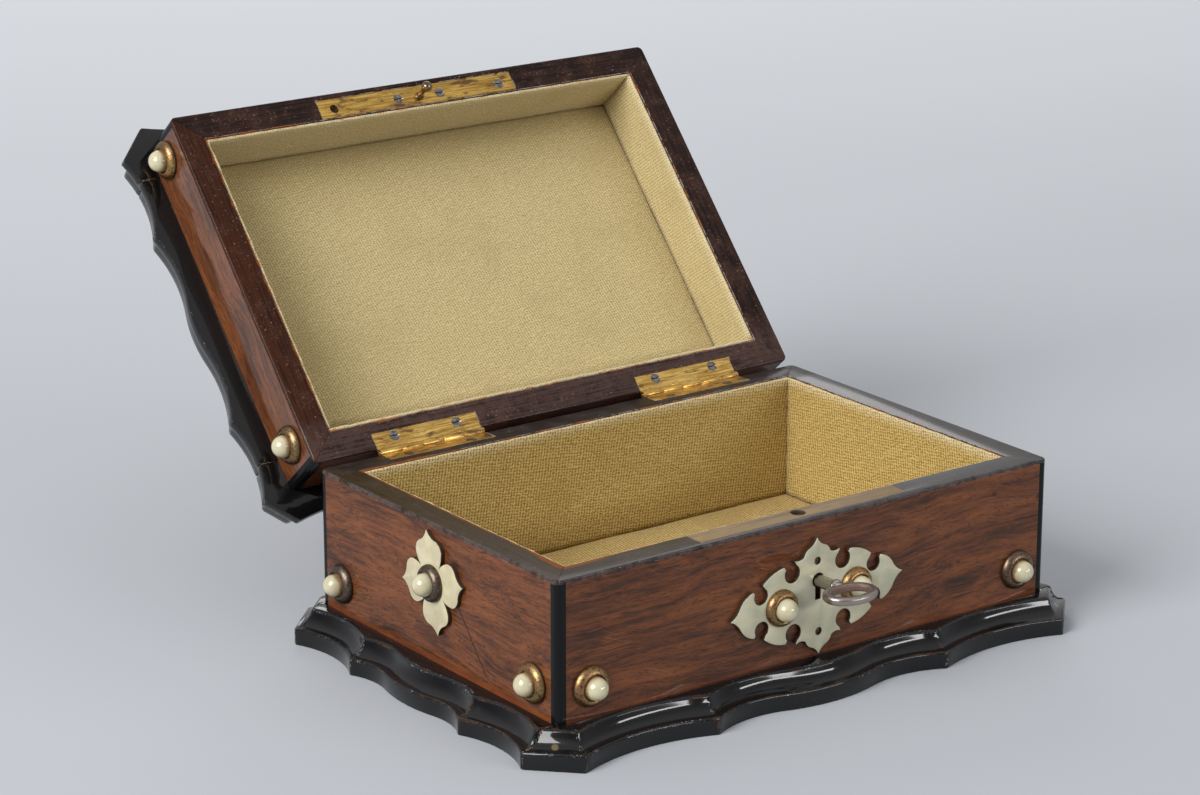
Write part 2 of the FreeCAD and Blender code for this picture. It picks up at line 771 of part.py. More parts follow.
def stud(at, out, radius):
    """The collar and bead of one stud that stands on a face at a point."""
    bore = bead_radius + bead_gap

    def place(share):
        return V(bore + share[0] * (radius - bore), 0, share[1] * collar_height)

    foot, edge = V(radius, 0, 0), place(collar_edge_share)
    flare, lip = [place(s) for s in collar_flare_shares], [place(s) for s in collar_lip_shares]
    section = Part.Wire([
        Part.LineSegment(V(bore, 0, 0), foot).toShape(), Part.LineSegment(foot, edge).toShape(),
        Part.Arc(edge, *flare).toShape(), Part.Arc(flare[-1], *lip).toShape(),
        Part.LineSegment(lip[-1], V(bore, 0, 0)).toShape(),
    ])
    collar = Part.Face(section).revolve(ORIGIN, ALONG_Z)
    straight = bead_height - bead_radius
    dome = Part.makeSphere(bead_radius, V(0, 0, straight), ALONG_Z, 0, 90)
    bead = Part.makeCylinder(bead_radius, straight).fuse(dome).removeSplitter()
    place_at = FreeCAD.Placement(at, FreeCAD.Rotation(ALONG_Z, out))
    for piece in (collar, bead):
        piece.Placement = place_at
    return collar, bead


def turned(point, degrees):
    """A point of a plane turned anticlockwise about its origin."""
    angle = math.radians(degrees)
    return (point[0] * math.cos(angle) - point[1] * math.sin(angle),
            point[0] * math.sin(angle) + point[1] * math.cos(angle))


def path_plate(start, rows, at, right, up, out, turn):
    """A plate cut to a closed outline of lines and arcs, turned in its own plane and set on a face."""
    def place(point):
        u, v = turned(point, turn)
        return at + right * u + up * v

    edges = []
    here = start
    for middle, end in rows:
        if middle is None:
            edges.append(Part.LineSegment(place(here), place(end)).toShape())
        else:
            edges.append(Part.Arc(place(here), place(middle), place(end)).toShape())
        here = end
    return Part.Face(Part.Wire(edges)).extrude(out * plate_thickness)


def mirrored_rows(start, rows, flip):
    """The same run of an outline walked back along its mirror image."""
    points = [start] + [end for middle, end in rows]
    middles = [middle for middle, end in rows]
    back = []
    for i in reversed(range(len(rows))):
        middle = None if middles[i] is None else flip(middles[i])
        back.append((middle, flip(points[i])))
    return back


def escutcheon():
    """The fretted plate: a quarter of its outline, mirrored into four."""
    def sized(share):
        return (share[0] * escutcheon_half_width, share[1] * escutcheon_half_height)

    start = sized(escutcheon_start_share)
    quarter = [(None if m is None else sized(m), sized(e)) for m, e in escutcheon_quarter_shares]
    right = quarter + mirrored_rows(start, quarter, lambda p: (p[0], -p[1]))
    whole = right + mirrored_rows(start, right, lambda p: (-p[0], p[1]))
    at = V(escutcheon_x, -half_y, escutcheon_height)
    plate = path_plate(start, whole, at, ALONG_X, ALONG_Z, ALONG_Y * -1, escutcheon_turn)
    y0, y1 = -half_y - plate_thickness - overrun, -half_y + overrun
    holes = [Part.makeCylinder(escutcheon_pin_radius + escutcheon_pin_fit, y1 - y0, V(p.x, y0, p.z), ALONG_Y)
             for p in escutcheon_pin_points()]
    return plate.cut(holes + [keyhole(keyhole_radius, keyhole_slot_half, keyhole_slot_reach, y0, y1)])


def escutcheon_point(u, v, out):
    """A point of the escutcheon's own plane, at a distance out from the front of the box."""
    x, z = turned((u, v), escutcheon_turn)
    return V(escutcheon_x + x, -half_y - out, escutcheon_height + z)


def escutcheon_pin_points():
    """Where the two pins hold the escutcheon."""
    return [escutcheon_point(0, way * escutcheon_pin_spread, 0) for way in (-1, 1)]


def quatrefoil():
    """The plate of four petals on the left side, turned a little as it was pinned on."""
    span = quatrefoil_span
    start = (petal_notch_share[0] * span, -petal_notch_share[1] * span)
    half = [((m[0] * span, -m[1] * span), (e[0] * span, -e[1] * span)) for m, e in petal_shares]
    petal = half + mirrored_rows(start, half, lambda p: (p[0], -p[1]))
    rows = [(turned(m, quarter), turned(e, quarter)) for quarter in (0, 90, 180, 270) for m, e in petal]
    at = V(-half_x, quatrefoil_y, quatrefoil_height)
    return path_plate(start, rows, at, ALONG_Y * -1, ALONG_Z, ALONG_X * -1, quatrefoil_turn)


def build_body():
    """Writes every piece of the box's body."""
    save("base_board", [core_board(0, board)])
    front, back, sides = moulding(foot_moulding_sides(), 0, fascia, profile_depth, half_y - corner_inset)
    save("base_moulding_front", [front])
    save("base_moulding_back", [back])
    save("base_moulding_sides", sides)

    core_top = rim_height - lipping
    hinge_holes = [screw_hole(p, ALONG_Z, screw_length, leaf_thickness)
                   for p in hinge_screw_points(rim_height)]
    wall_back = core_front(board, core_top).mirror(ORIGIN, ALONG_Y)
    save("wall_front", [core_front(board, core_top).cut(lock_mortise())])
    save("wall_back", [wall_back.cut(hinge_holes)])
    save("wall_sides", core_sides(board, core_top))
    through = keyhole(keyhole_radius, keyhole_slot_half, keyhole_slot_reach,
                      -half_y - overrun, -core_y + overrun)
    save("veneer_front", [face_veneer_front(0, core_top).cut(through)])
    save("veneer_back", [face_veneer_front(0, core_top).mirror(ORIGIN, ALONG_Y)])
    save("veneer_sides", face_veneer_sides(0, core_top))
    save("corner_strips", corner_strips(0, core_top))

    rim_front, rim_back, rim_sides = rim_strips(core_top, rim_height, rim_height)
    strip_x0, strip_x1 = lock_x - strip_length / 2, lock_x + strip_length / 2
    strip_y = -half_y + strip_setback
    rim_front = rim_front.cut(block(strip_x0, strip_x1, strip_y, -inner_y + overrun,
                                    core_top - overrun, rim_height + overrun))
    recesses = [leaf_recess(side * hinge_centre, rim_height - leaf_thickness, rim_height + overrun)
                for side in (-1, 1)]
    save("rim_lipping", [rim_front, rim_back.cut(recesses + hinge_holes)] + rim_sides)
    strip = block(strip_x0, strip_x1, strip_y, -inner_y, core_top, rim_height)
    save("lock_strip", [strip.cut(pin_hole(core_top - overrun, rim_height + overrun))])

    floor_top = board + lining
    lining_front, lining_sides = wall_linings(floor_top, rim_height - lining_drop)
    save("lining_floor", [block(-inner_x, inner_x, -inner_y, inner_y, board, floor_top)])
    save("lining_front", [lining_front])
    save("lining_back", [lining_front.mirror(ORIGIN, ALONG_Y)])
    save("lining_sides", lining_sides)


def build_lock():
    """Writes the lock, its key and the strike that the lid carries."""
    save("lock_case", [lock_case()])
    save("lock_back_plate", [lock_back_plate()])
    save("lock_screws", [screw(p, ALONG_Y, lock_screw_length, lock_plate) for p in lock_screw_points()])
    save("lock_drill_pin", [drill_pin()])
    save("lock_spring", [spring()])
    save("lock_bolt", [bolt()])
    save("key", [key()])
    save_lid("strike_plate", [strike_plate()])
    save_lid("strike_pin", [strike_pin()])
    upward = ALONG_Z * -1
    save_lid("strike_screws", [screw(p, upward, screw_length, strike_thickness) for p in strike_points()])


def build_ornament():
    """Writes the bone plates and the studs."""
    save("escutcheon", [escutcheon()])
    save("escutcheon_pins", [Part.makeCylinder(escutcheon_pin_radius, escutcheon_pin_height, p, ALONG_Y * -1)
                             for p in escutcheon_pin_points()])
    save("quatrefoils", both_ways(quatrefoil(), ALONG_X))

    out_front, out_left = ALONG_Y * -1, ALONG_X * -1
    studs = [stud(V(way * (half_x - stud_inset), -half_y, stud_height), out_front, collar_radius)
             for way in (-1, 1)]
    studs += [stud(escutcheon_point(way * escutcheon_stud_spread, 0, plate_thickness), out_front,
                   plate_collar_radius) for way in (-1, 1)]
    left = [stud(V(-half_x, way * (half_y - stud_inset), stud_height), out_left, collar_radius)
            for way in (-1, 1)]
    left.append(stud(V(-half_x - plate_thickness, quatrefoil_y, quatrefoil_height), out_left,
                     plate_collar_radius))
    for one in left:
        studs.append(one)
        studs.append([piece.mirror(ORIGIN, ALONG_X) for piece in one])
    save("stud_collars", [collar for collar, bead in studs])
    save("stud_beads", [bead for collar, bead in studs])

    front_z, back_z = lid_rim + lid_front_stud_rise, lid_rim + lid_back_stud_rise
    lid = [stud(V(-half_x, lid_front_stud_inset - half_y, front_z), out_left, collar_radius),
           stud(V(-half_x, half_y - lid_back_stud_inset, back_z), out_left, collar_radius)]
    lid += [[piece.mirror(ORIGIN, ALONG_X) for piece in one] for one in lid]
    save_lid("lid_stud_collars", [collar for collar, bead in lid])
    save_lid("lid_stud_beads", [bead for collar, bead in lid])


def build_hinges():
    """Writes both hinges and their screws."""
    for name, side in (("left", -1), ("right", 1)):
        centre = side * hinge_centre
        top = [screw_hole(p, ALONG_Z, screw_length, leaf_thickness) for p in hinge_screw_points(rim_height)]
        under = [screw_hole(p, ALONG_Z * -1, screw_length, leaf_thickness)
                 for p in hinge_screw_points(lid_rim)]
        body_leaf = hinge_leaf(centre, rim_height - leaf_thickness, rim_height, True)
        lid_leaf = hinge_leaf(centre, lid_rim, lid_rim + leaf_thickness, False)
        save("hinge_body_leaf_" + name, [body_leaf.cut(top)])
        save_lid("hinge_lid_leaf_" + name, [lid_leaf.cut(under)])
    save("hinge_pins", [hinge_pin(side * hinge_centre) for side in (-1, 1)])
    save("hinge_body_screws", [screw(p, ALONG_Z, screw_length, leaf_thickness)
                               for p in hinge_screw_points(rim_height)])
    save_lid("hinge_lid_screws", [screw(p, ALONG_Z * -1, screw_length, leaf_thickness)
                                  for p in hinge_screw_points(lid_rim)])


def build_lid():
    """Writes every piece of the lid's case, turned open."""
    core_foot = lid_rim + lipping
    hinge_holes = [screw_hole(p, ALONG_Z * -1, screw_length, leaf_thickness)
                   for p in hinge_screw_points(lid_rim)]
    strike_holes = [screw_hole(p, ALONG_Z * -1, screw_length, strike_thickness) for p in strike_points()]
    strike_holes.append(rivet_hole())
    wall_front = core_front(core_foot, lid_board_under)
    save_lid("lid_wall_front", [wall_front.cut(strike_holes)])
    save_lid("lid_wall_back", [wall_front.mirror(ORIGIN, ALONG_Y).cut(hinge_holes)])
    save_lid("lid_wall_sides", core_sides(core_foot, lid_board_under))
    save_lid("lid_top_board", [core_board(lid_board_under, lid_board_top)])
    save_lid("lid_top_veneer", [case_block(lid_board_top, lid_veneer_top)])
    veneer_front = face_veneer_front(core_foot, lid_board_top)
    save_lid("lid_veneer_front", [veneer_front])
    save_lid("lid_veneer_back", [veneer_front.mirror(ORIGIN, ALONG_Y)])
    save_lid("lid_veneer_sides", face_veneer_sides(core_foot, lid_board_top))
    save_lid("lid_corner_strips", corner_strips(core_foot, lid_board_top))

    rim_front, rim_back, rim_sides = rim_strips(lid_rim, core_foot, lid_rim)
    recesses = [leaf_recess(side * hinge_centre, lid_rim - overrun, lid_rim + leaf_thickness)
                for side in (-1, 1)]
    rim_front = rim_front.cut([strike_plate_block(strike_fit, lid_rim + strike_thickness)] + strike_holes)
    save_lid("lid_rim_lipping", [rim_front, rim_back.cut(recesses + hinge_holes)] + rim_sides)

    front, back, sides = moulding(lid_moulding_sides(), lid_moulding_foot, lid_fascia, lid_profile_depth,
                                  half_y - lid_joint_inset)
    save_lid("lid_moulding_front", [front])
    save_lid("lid_moulding_back", [back])
    save_lid("lid_moulding_sides", sides)

    lining_foot = lid_rim + lining_drop
    lining_under = lid_board_under - lining
    lining_front, lining_sides = wall_linings(lining_foot, lining_under)
    save_lid("lid_lining_top", [block(-inner_x, inner_x, -inner_y, inner_y, lining_under, lid_board_under)])
    save_lid("lid_lining_front", [lining_front])
    save_lid("lid_lining_back", [lining_front.mirror(ORIGIN, ALONG_Y)])
    save_lid("lid_lining_sides", lining_sides)


os.makedirs("parts", exist_ok=True)
build_body()
build_lock()
build_ornament()
build_hinges()
build_lid()
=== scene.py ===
"""Looks of an antique glove box: veneer, lacquer, bone, metal, cloth linings, glue and wear.

Sizes in the classes are in millimetres, but the studio's are in metres, as meshes are. Pieces of
the lid are thought of as on the shut box, where the same sums serve body and lid, and are turned
open at the end.
"""

import json
import logging
import math
from dataclasses import dataclass
from enum import Enum
from typing import Iterator, NamedTuple, Sequence, Union

import bpy
from mathutils import Matrix, Vector, noise
from mathutils.bvhtree import BVHTree
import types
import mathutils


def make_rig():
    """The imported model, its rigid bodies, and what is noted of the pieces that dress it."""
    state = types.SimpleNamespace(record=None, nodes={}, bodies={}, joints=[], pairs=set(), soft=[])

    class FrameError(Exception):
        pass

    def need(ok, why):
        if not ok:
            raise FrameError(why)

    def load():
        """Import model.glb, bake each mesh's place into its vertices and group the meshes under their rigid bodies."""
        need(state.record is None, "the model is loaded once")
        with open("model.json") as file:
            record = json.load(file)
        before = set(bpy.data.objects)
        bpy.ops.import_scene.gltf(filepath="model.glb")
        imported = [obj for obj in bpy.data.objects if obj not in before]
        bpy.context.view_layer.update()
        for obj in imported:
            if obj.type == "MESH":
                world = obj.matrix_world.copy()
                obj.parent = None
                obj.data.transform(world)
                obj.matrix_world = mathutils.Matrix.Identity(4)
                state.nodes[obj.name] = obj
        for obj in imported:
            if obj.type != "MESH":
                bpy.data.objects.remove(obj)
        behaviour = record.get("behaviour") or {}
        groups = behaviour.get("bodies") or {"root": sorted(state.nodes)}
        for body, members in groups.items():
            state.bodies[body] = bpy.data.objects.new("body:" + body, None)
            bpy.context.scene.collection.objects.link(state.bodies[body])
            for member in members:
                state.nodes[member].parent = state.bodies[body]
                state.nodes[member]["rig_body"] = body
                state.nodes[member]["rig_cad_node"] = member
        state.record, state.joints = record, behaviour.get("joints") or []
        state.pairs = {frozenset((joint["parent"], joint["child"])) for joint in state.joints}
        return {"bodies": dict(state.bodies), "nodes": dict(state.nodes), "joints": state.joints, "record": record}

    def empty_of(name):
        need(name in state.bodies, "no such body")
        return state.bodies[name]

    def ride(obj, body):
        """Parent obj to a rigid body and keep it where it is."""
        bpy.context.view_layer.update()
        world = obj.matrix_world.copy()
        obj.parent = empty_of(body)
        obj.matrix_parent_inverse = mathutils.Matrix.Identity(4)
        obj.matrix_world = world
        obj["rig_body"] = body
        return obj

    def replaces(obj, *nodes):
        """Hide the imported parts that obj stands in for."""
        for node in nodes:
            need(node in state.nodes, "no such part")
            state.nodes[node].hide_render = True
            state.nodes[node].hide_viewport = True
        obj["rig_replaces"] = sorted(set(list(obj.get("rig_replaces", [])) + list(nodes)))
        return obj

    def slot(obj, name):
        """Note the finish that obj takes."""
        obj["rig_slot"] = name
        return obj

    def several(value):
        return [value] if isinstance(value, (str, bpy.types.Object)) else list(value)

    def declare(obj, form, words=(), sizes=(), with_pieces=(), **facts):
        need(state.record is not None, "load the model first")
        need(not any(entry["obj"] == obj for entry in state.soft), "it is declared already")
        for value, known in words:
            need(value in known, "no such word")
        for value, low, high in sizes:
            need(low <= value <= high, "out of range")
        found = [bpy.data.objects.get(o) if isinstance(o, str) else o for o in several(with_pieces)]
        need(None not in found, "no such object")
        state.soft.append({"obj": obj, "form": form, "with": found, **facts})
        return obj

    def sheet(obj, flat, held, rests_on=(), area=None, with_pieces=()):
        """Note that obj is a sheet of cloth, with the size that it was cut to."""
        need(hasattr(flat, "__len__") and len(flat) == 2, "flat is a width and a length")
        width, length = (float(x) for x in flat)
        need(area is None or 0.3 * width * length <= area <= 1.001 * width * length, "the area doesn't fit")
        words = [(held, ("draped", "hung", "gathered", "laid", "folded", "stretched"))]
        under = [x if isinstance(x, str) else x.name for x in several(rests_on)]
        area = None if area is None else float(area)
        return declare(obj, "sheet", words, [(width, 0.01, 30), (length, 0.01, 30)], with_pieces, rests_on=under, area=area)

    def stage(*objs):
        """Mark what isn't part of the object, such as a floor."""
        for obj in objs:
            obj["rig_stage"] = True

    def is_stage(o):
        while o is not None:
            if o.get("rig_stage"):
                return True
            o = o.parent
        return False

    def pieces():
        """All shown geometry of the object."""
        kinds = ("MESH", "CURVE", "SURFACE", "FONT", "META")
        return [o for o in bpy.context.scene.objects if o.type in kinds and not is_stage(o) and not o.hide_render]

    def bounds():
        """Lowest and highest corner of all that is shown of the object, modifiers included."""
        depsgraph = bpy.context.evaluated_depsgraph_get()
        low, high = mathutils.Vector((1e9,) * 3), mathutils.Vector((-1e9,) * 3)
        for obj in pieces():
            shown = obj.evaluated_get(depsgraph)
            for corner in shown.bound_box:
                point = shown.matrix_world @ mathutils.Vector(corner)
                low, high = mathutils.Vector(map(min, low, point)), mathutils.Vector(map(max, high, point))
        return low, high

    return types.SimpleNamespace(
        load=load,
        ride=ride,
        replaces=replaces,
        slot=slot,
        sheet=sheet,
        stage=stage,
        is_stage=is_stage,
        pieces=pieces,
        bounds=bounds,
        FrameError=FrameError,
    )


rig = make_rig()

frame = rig.load()
CAD_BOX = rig.bounds()

LOG = logging.getLogger("glove_box")
MM = 0.001
Colour = tuple[float, float, float]
Point = tuple[float, float, float]
Number = Union[float, "Wire"]


class Half(Enum):
    """Which half of the box a piece belongs to."""

    BODY = "box"
    LID = "lid"


class Grain(Enum):
    """Which way the grain of a piece of wood runs."""

    LENGTHWAYS = "x"
    DEPTHWAYS = "y"


class Way(Enum):
    """The directions of the shut box."""

    RIGHT = (1, 0, 0)
    LEFT = (-1, 0, 0)
    BACK = (0, 1, 0)
    FRONT = (0, -1, 0)
    UP = (0, 0, 1)
    DOWN = (0, 0, -1)

    @property
    def vector(self) -> Vector:
        """The direction as a vector of length 1."""
        return Vector(self.value)


@dataclass(frozen=True)
class CaseSizes:
    """Main sizes of the box, as its construction has them."""

    half_x: float = 120.0
    half_y: float = 80.0
    inner_x: float = 108.0
    inner_y: float = 68.0
    rim: float = 70.0
    lid_rim: float = 70.3
    lid_moulding_foot: float = 95.3
    hinge_y: float = 81.8
    hinge_z: float = 70.15
    lid_angle: float = 131.5

    def opening(self) -> Matrix:
        """Turns a piece of the shut lid, in metres, to where the open lid holds it."""
        hinge = Vector((0, self.hinge_y, self.hinge_z)) * MM
        turn = Matrix.Rotation(math.radians(-self.lid_angle), 4, "X")
        return Matrix.Translation(hinge) @ turn @ Matrix.Translation(-hinge)


SIZES = CaseSizes()


class Wire:
    """One socket of a shader, so that sums on it read as Python expressions."""

    def __init__(self, bench: "Bench", socket: bpy.types.NodeSocket) -> None:
        """Holds the socket and the bench that its nodes go on."""
        self.bench = bench
        self.socket = socket

    def sum(self, operation: str, *others: Number) -> "Wire":
        """Adds a Math node on this socket and others.

        Args:
            operation: the Math node's operation.
            others: the values or wires after this one.

        Returns:
            The result.
        """
        return self.bench.node("Math", {"operation": operation}, dict(enumerate((self, *others))))

    def __add__(self, other: Number) -> "Wire":
        """This plus other."""
        return self.sum("ADD", other)

    def __radd__(self, other: Number) -> "Wire":
        """Other plus this."""
        return self.sum("ADD", other)

    def __sub__(self, other: Number) -> "Wire":
        """This less other."""
        return self.sum("SUBTRACT", other)

    def __rsub__(self, other: float) -> "Wire":
        """Other less this."""
        return self.sum("MULTIPLY_ADD", -1.0, other)

    def __mul__(self, other: Number) -> "Wire":
        """This times other."""
        return self.sum("MULTIPLY", other)

    def __rmul__(self, other: Number) -> "Wire":
        """Other times this."""
        return self.sum("MULTIPLY", other)

    def __abs__(self) -> "Wire":
        """The size of this without its sign."""
        return self.sum("ABSOLUTE")

    def least(self, other: Number) -> "Wire":
        """The smaller of this and other."""
        return self.sum("MINIMUM", other)

    def most(self, other: Number) -> "Wire":
        """The larger of this and other."""
        return self.sum("MAXIMUM", other)

    def sine(self) -> "Wire":
        """The sine of this, in radians."""
        return self.sum("SINE")

    def rise(self, low: float, high: float) -> "Wire":
        """Goes smoothly from 0 at low to 1 at high, or from 1 to 0 where high is below low.

        Args:
            low: where it starts.
            high: where it ends.

        Returns:
            A mask from 0 to 1.
        """
        ends = (0.0, 1.0) if high > low else (1.0, 0.0)
        low, high = min(low, high), max(low, high)
        return self.bench.node("MapRange", {"interpolation_type": "SMOOTHSTEP"}, {
            "Value": self, "From Min": low, "From Max": high, "To Min": ends[0], "To Max": ends[1]})


@dataclass
class Spot:
    """A point of a piece in millimetres, as on the shut box."""

    x: Wire
    y: Wire
    z: Wire

    def __iter__(self) -> Iterator[Wire]:
        """Gives x, y and z in turn."""
        return iter((self.x, self.y, self.z))

    def edge(self) -> Wire:
        """How far in from the outside of the case, in the flat."""
        return (SIZES.half_x - abs(self.x)).least(SIZES.half_y - abs(self.y))

    def out(self) -> Wire:
        """How far out from the faces of the case."""
        return (abs(self.x) - SIZES.half_x).most(abs(self.y) - SIZES.half_y)

    def inside(self) -> Wire:
        """How far out from the inner edge of the rim."""
        return (abs(self.x) - SIZES.inner_x).most(abs(self.y) - SIZES.inner_y)


class Bench:
    """The node tree of one material, and the calls that add to it."""

    def __init__(self, holder: "bpy.types.Material | bpy.types.World") -> None:
        """Empties the tree of a new material or world, and works on it.

        Args:
            holder: the material or world.
        """
        holder.use_nodes = True
        self.holder = holder
        self.tree = holder.node_tree
        self.tree.nodes.clear()

    def node(self, kind: str, settings: dict | None = None, sockets: dict | None = None,
             output: str | None = None) -> Wire:
        """Adds one node.

        Args:
            kind: the node's type, without ShaderNode.
            settings: properties that are set first; stops are a ramp's places and colours.
            sockets: values or wires, by socket name or number.
            output: the output's name, or the first that is in use.

        Returns:
            The output.
        """
        made = self.tree.nodes.new("ShaderNode" + kind)
        for name, value in (settings or {}).items():
            if name == "stops":
                self.set_stops(made.color_ramp, value)
            else:
                setattr(made, name, value)
        for name, value in (sockets or {}).items():
            socket = made.inputs[name] if isinstance(name, int) else next(
                s for s in made.inputs if s.name == name and s.enabled)
            if isinstance(value, Wire):
                self.tree.links.new(value.socket, socket)
            elif socket.type == "RGBA":
                socket.default_value = (*value, 1.0)
            else:
                socket.default_value = value
        shown = (s for s in made.outputs if s.enabled)
        return Wire(self, made.outputs[output] if output else next(shown, None))

    @staticmethod
    def set_stops(ramp: bpy.types.ColorRamp, stops: Sequence[tuple[float, Colour]]) -> None:
        """Gives a ramp its stops.

        Args:
            ramp: the ramp, with its two first stops.
            stops: places and colours in rising order.
        """
        ramp.elements[0].position = stops[0][0]
        ramp.elements[1].position = stops[-1][0]
        for at, _ in stops[1:-1]:
            ramp.elements.new(at)
        for element, (_, colour) in zip(ramp.elements, stops):
            element.color = (*colour, 1.0)

    def spot(self, half: Half) -> Spot:
        """Where a point of a CAD piece lies.

        Args:
            half: the half of the box that the piece is on.

        Returns:
            Its place in millimetres on the shut box.
        """
        where = self.node("TexCoord", output="Object")
        sockets = {"Vector": where, "Scale": (1 / MM,) * 3}
        if half is Half.LID:
            back = SIZES.opening().inverted()
            sockets["Rotation"] = tuple(back.to_euler())
            sockets["Location"] = tuple(back.translation / MM)
        return Spot(*self.parts(self.node("Mapping", {}, sockets)))

    def parts(self, vector: Wire) -> list[Wire]:
        """The x, y and z of a vector."""
        first = self.node("SeparateXYZ", {}, {0: vector})
        return [Wire(self, socket) for socket in first.socket.node.outputs]

    def mark(self, name: str) -> Wire:
        """A value that the piece's mesh carries under a name, 0 where it has none."""
        return self.node("Attribute", {"attribute_name": name}, output="Fac")

    def vector(self, x: Number, y: Number, z: Number = 0.0) -> Wire:
        """A vector of three values or wires."""
        return self.node("CombineXYZ", {}, {0: x, 1: y, 2: z})

    def cloud(self, at: Spot, lump: float | Point, detail: float = 2.0,
              roughness: float = 0.55, seed: float = 0.0) -> Wire:
        """Soft noise whose lumps have a size along each axis.

        Args:
            at: where it is read.
            lump: the lumps' size in millimetres, one for all axes or one for each.
            detail: how many finer layers it has.
            roughness: how strong those are.
            seed: moves the pattern.

        Returns:
            A value round 0.5.
        """
        sizes = lump if isinstance(lump, tuple) else (lump,) * 3
        place = self.vector(*(along * (1 / size) + seed for along, size in zip(at, sizes)))
        return self.node("TexNoise", {}, {"Vector": place, "Scale": 1.0, "Detail": detail,
                                          "Roughness": roughness}, "Fac")

    def mix(self, factor: Number, first: "Colour | Wire", second: "Colour | Wire") -> Wire:
        """A colour between two, first where the factor is 0."""
        return self.node("Mix", {"data_type": "RGBA"}, {"Factor": factor, "A": first, "B": second})

    def ramp(self, value: Wire, stops: Sequence[tuple[float, Colour]]) -> Wire:
        """The colour that a ramp gives a value."""
        return self.node("ValToRGB", {"stops": stops}, {"Fac": value})

    def relief(self, height: Wire, depth: float) -> Wire:
        """A bumped normal.

        Args:
            height: from 0 to 1.
            depth: what 1 stands for, in millimetres.

        Returns:
            The normal.
        """
        return self.node("Bump", {}, {"Strength": 1.0, "Distance": depth * MM, "Height": height})

    def surface(self, **sockets: "float | Colour | Wire") -> bpy.types.Material:
        """Ends the material with its shader.

        Args:
            sockets: the shader's sockets, with _ for a space.

        Returns:
            The material.
        """
        named = {name.replace("_", " "): value for name, value in sockets.items()}
        shader = self.node("BsdfPrincipled", {}, named)
        self.node("OutputMaterial", {}, {"Surface": shader})
        return self.holder


class Finish:
    """What one kind of surface looks like; each kind builds its material once."""

    name: str

    def dress(self, bench: Bench) -> bpy.types.Material:
        """Builds the material.

        Args:
            bench: the material's bench, still empty.

        Returns:
            The material.
        """
        raise NotImplementedError

    def material(self) -> bpy.types.Material:
        """The finish's material, built the first time that it is asked for."""
        made = bpy.data.materials.get(self.name)
        return made or self.dress(Bench(bpy.data.materials.new(self.name)))


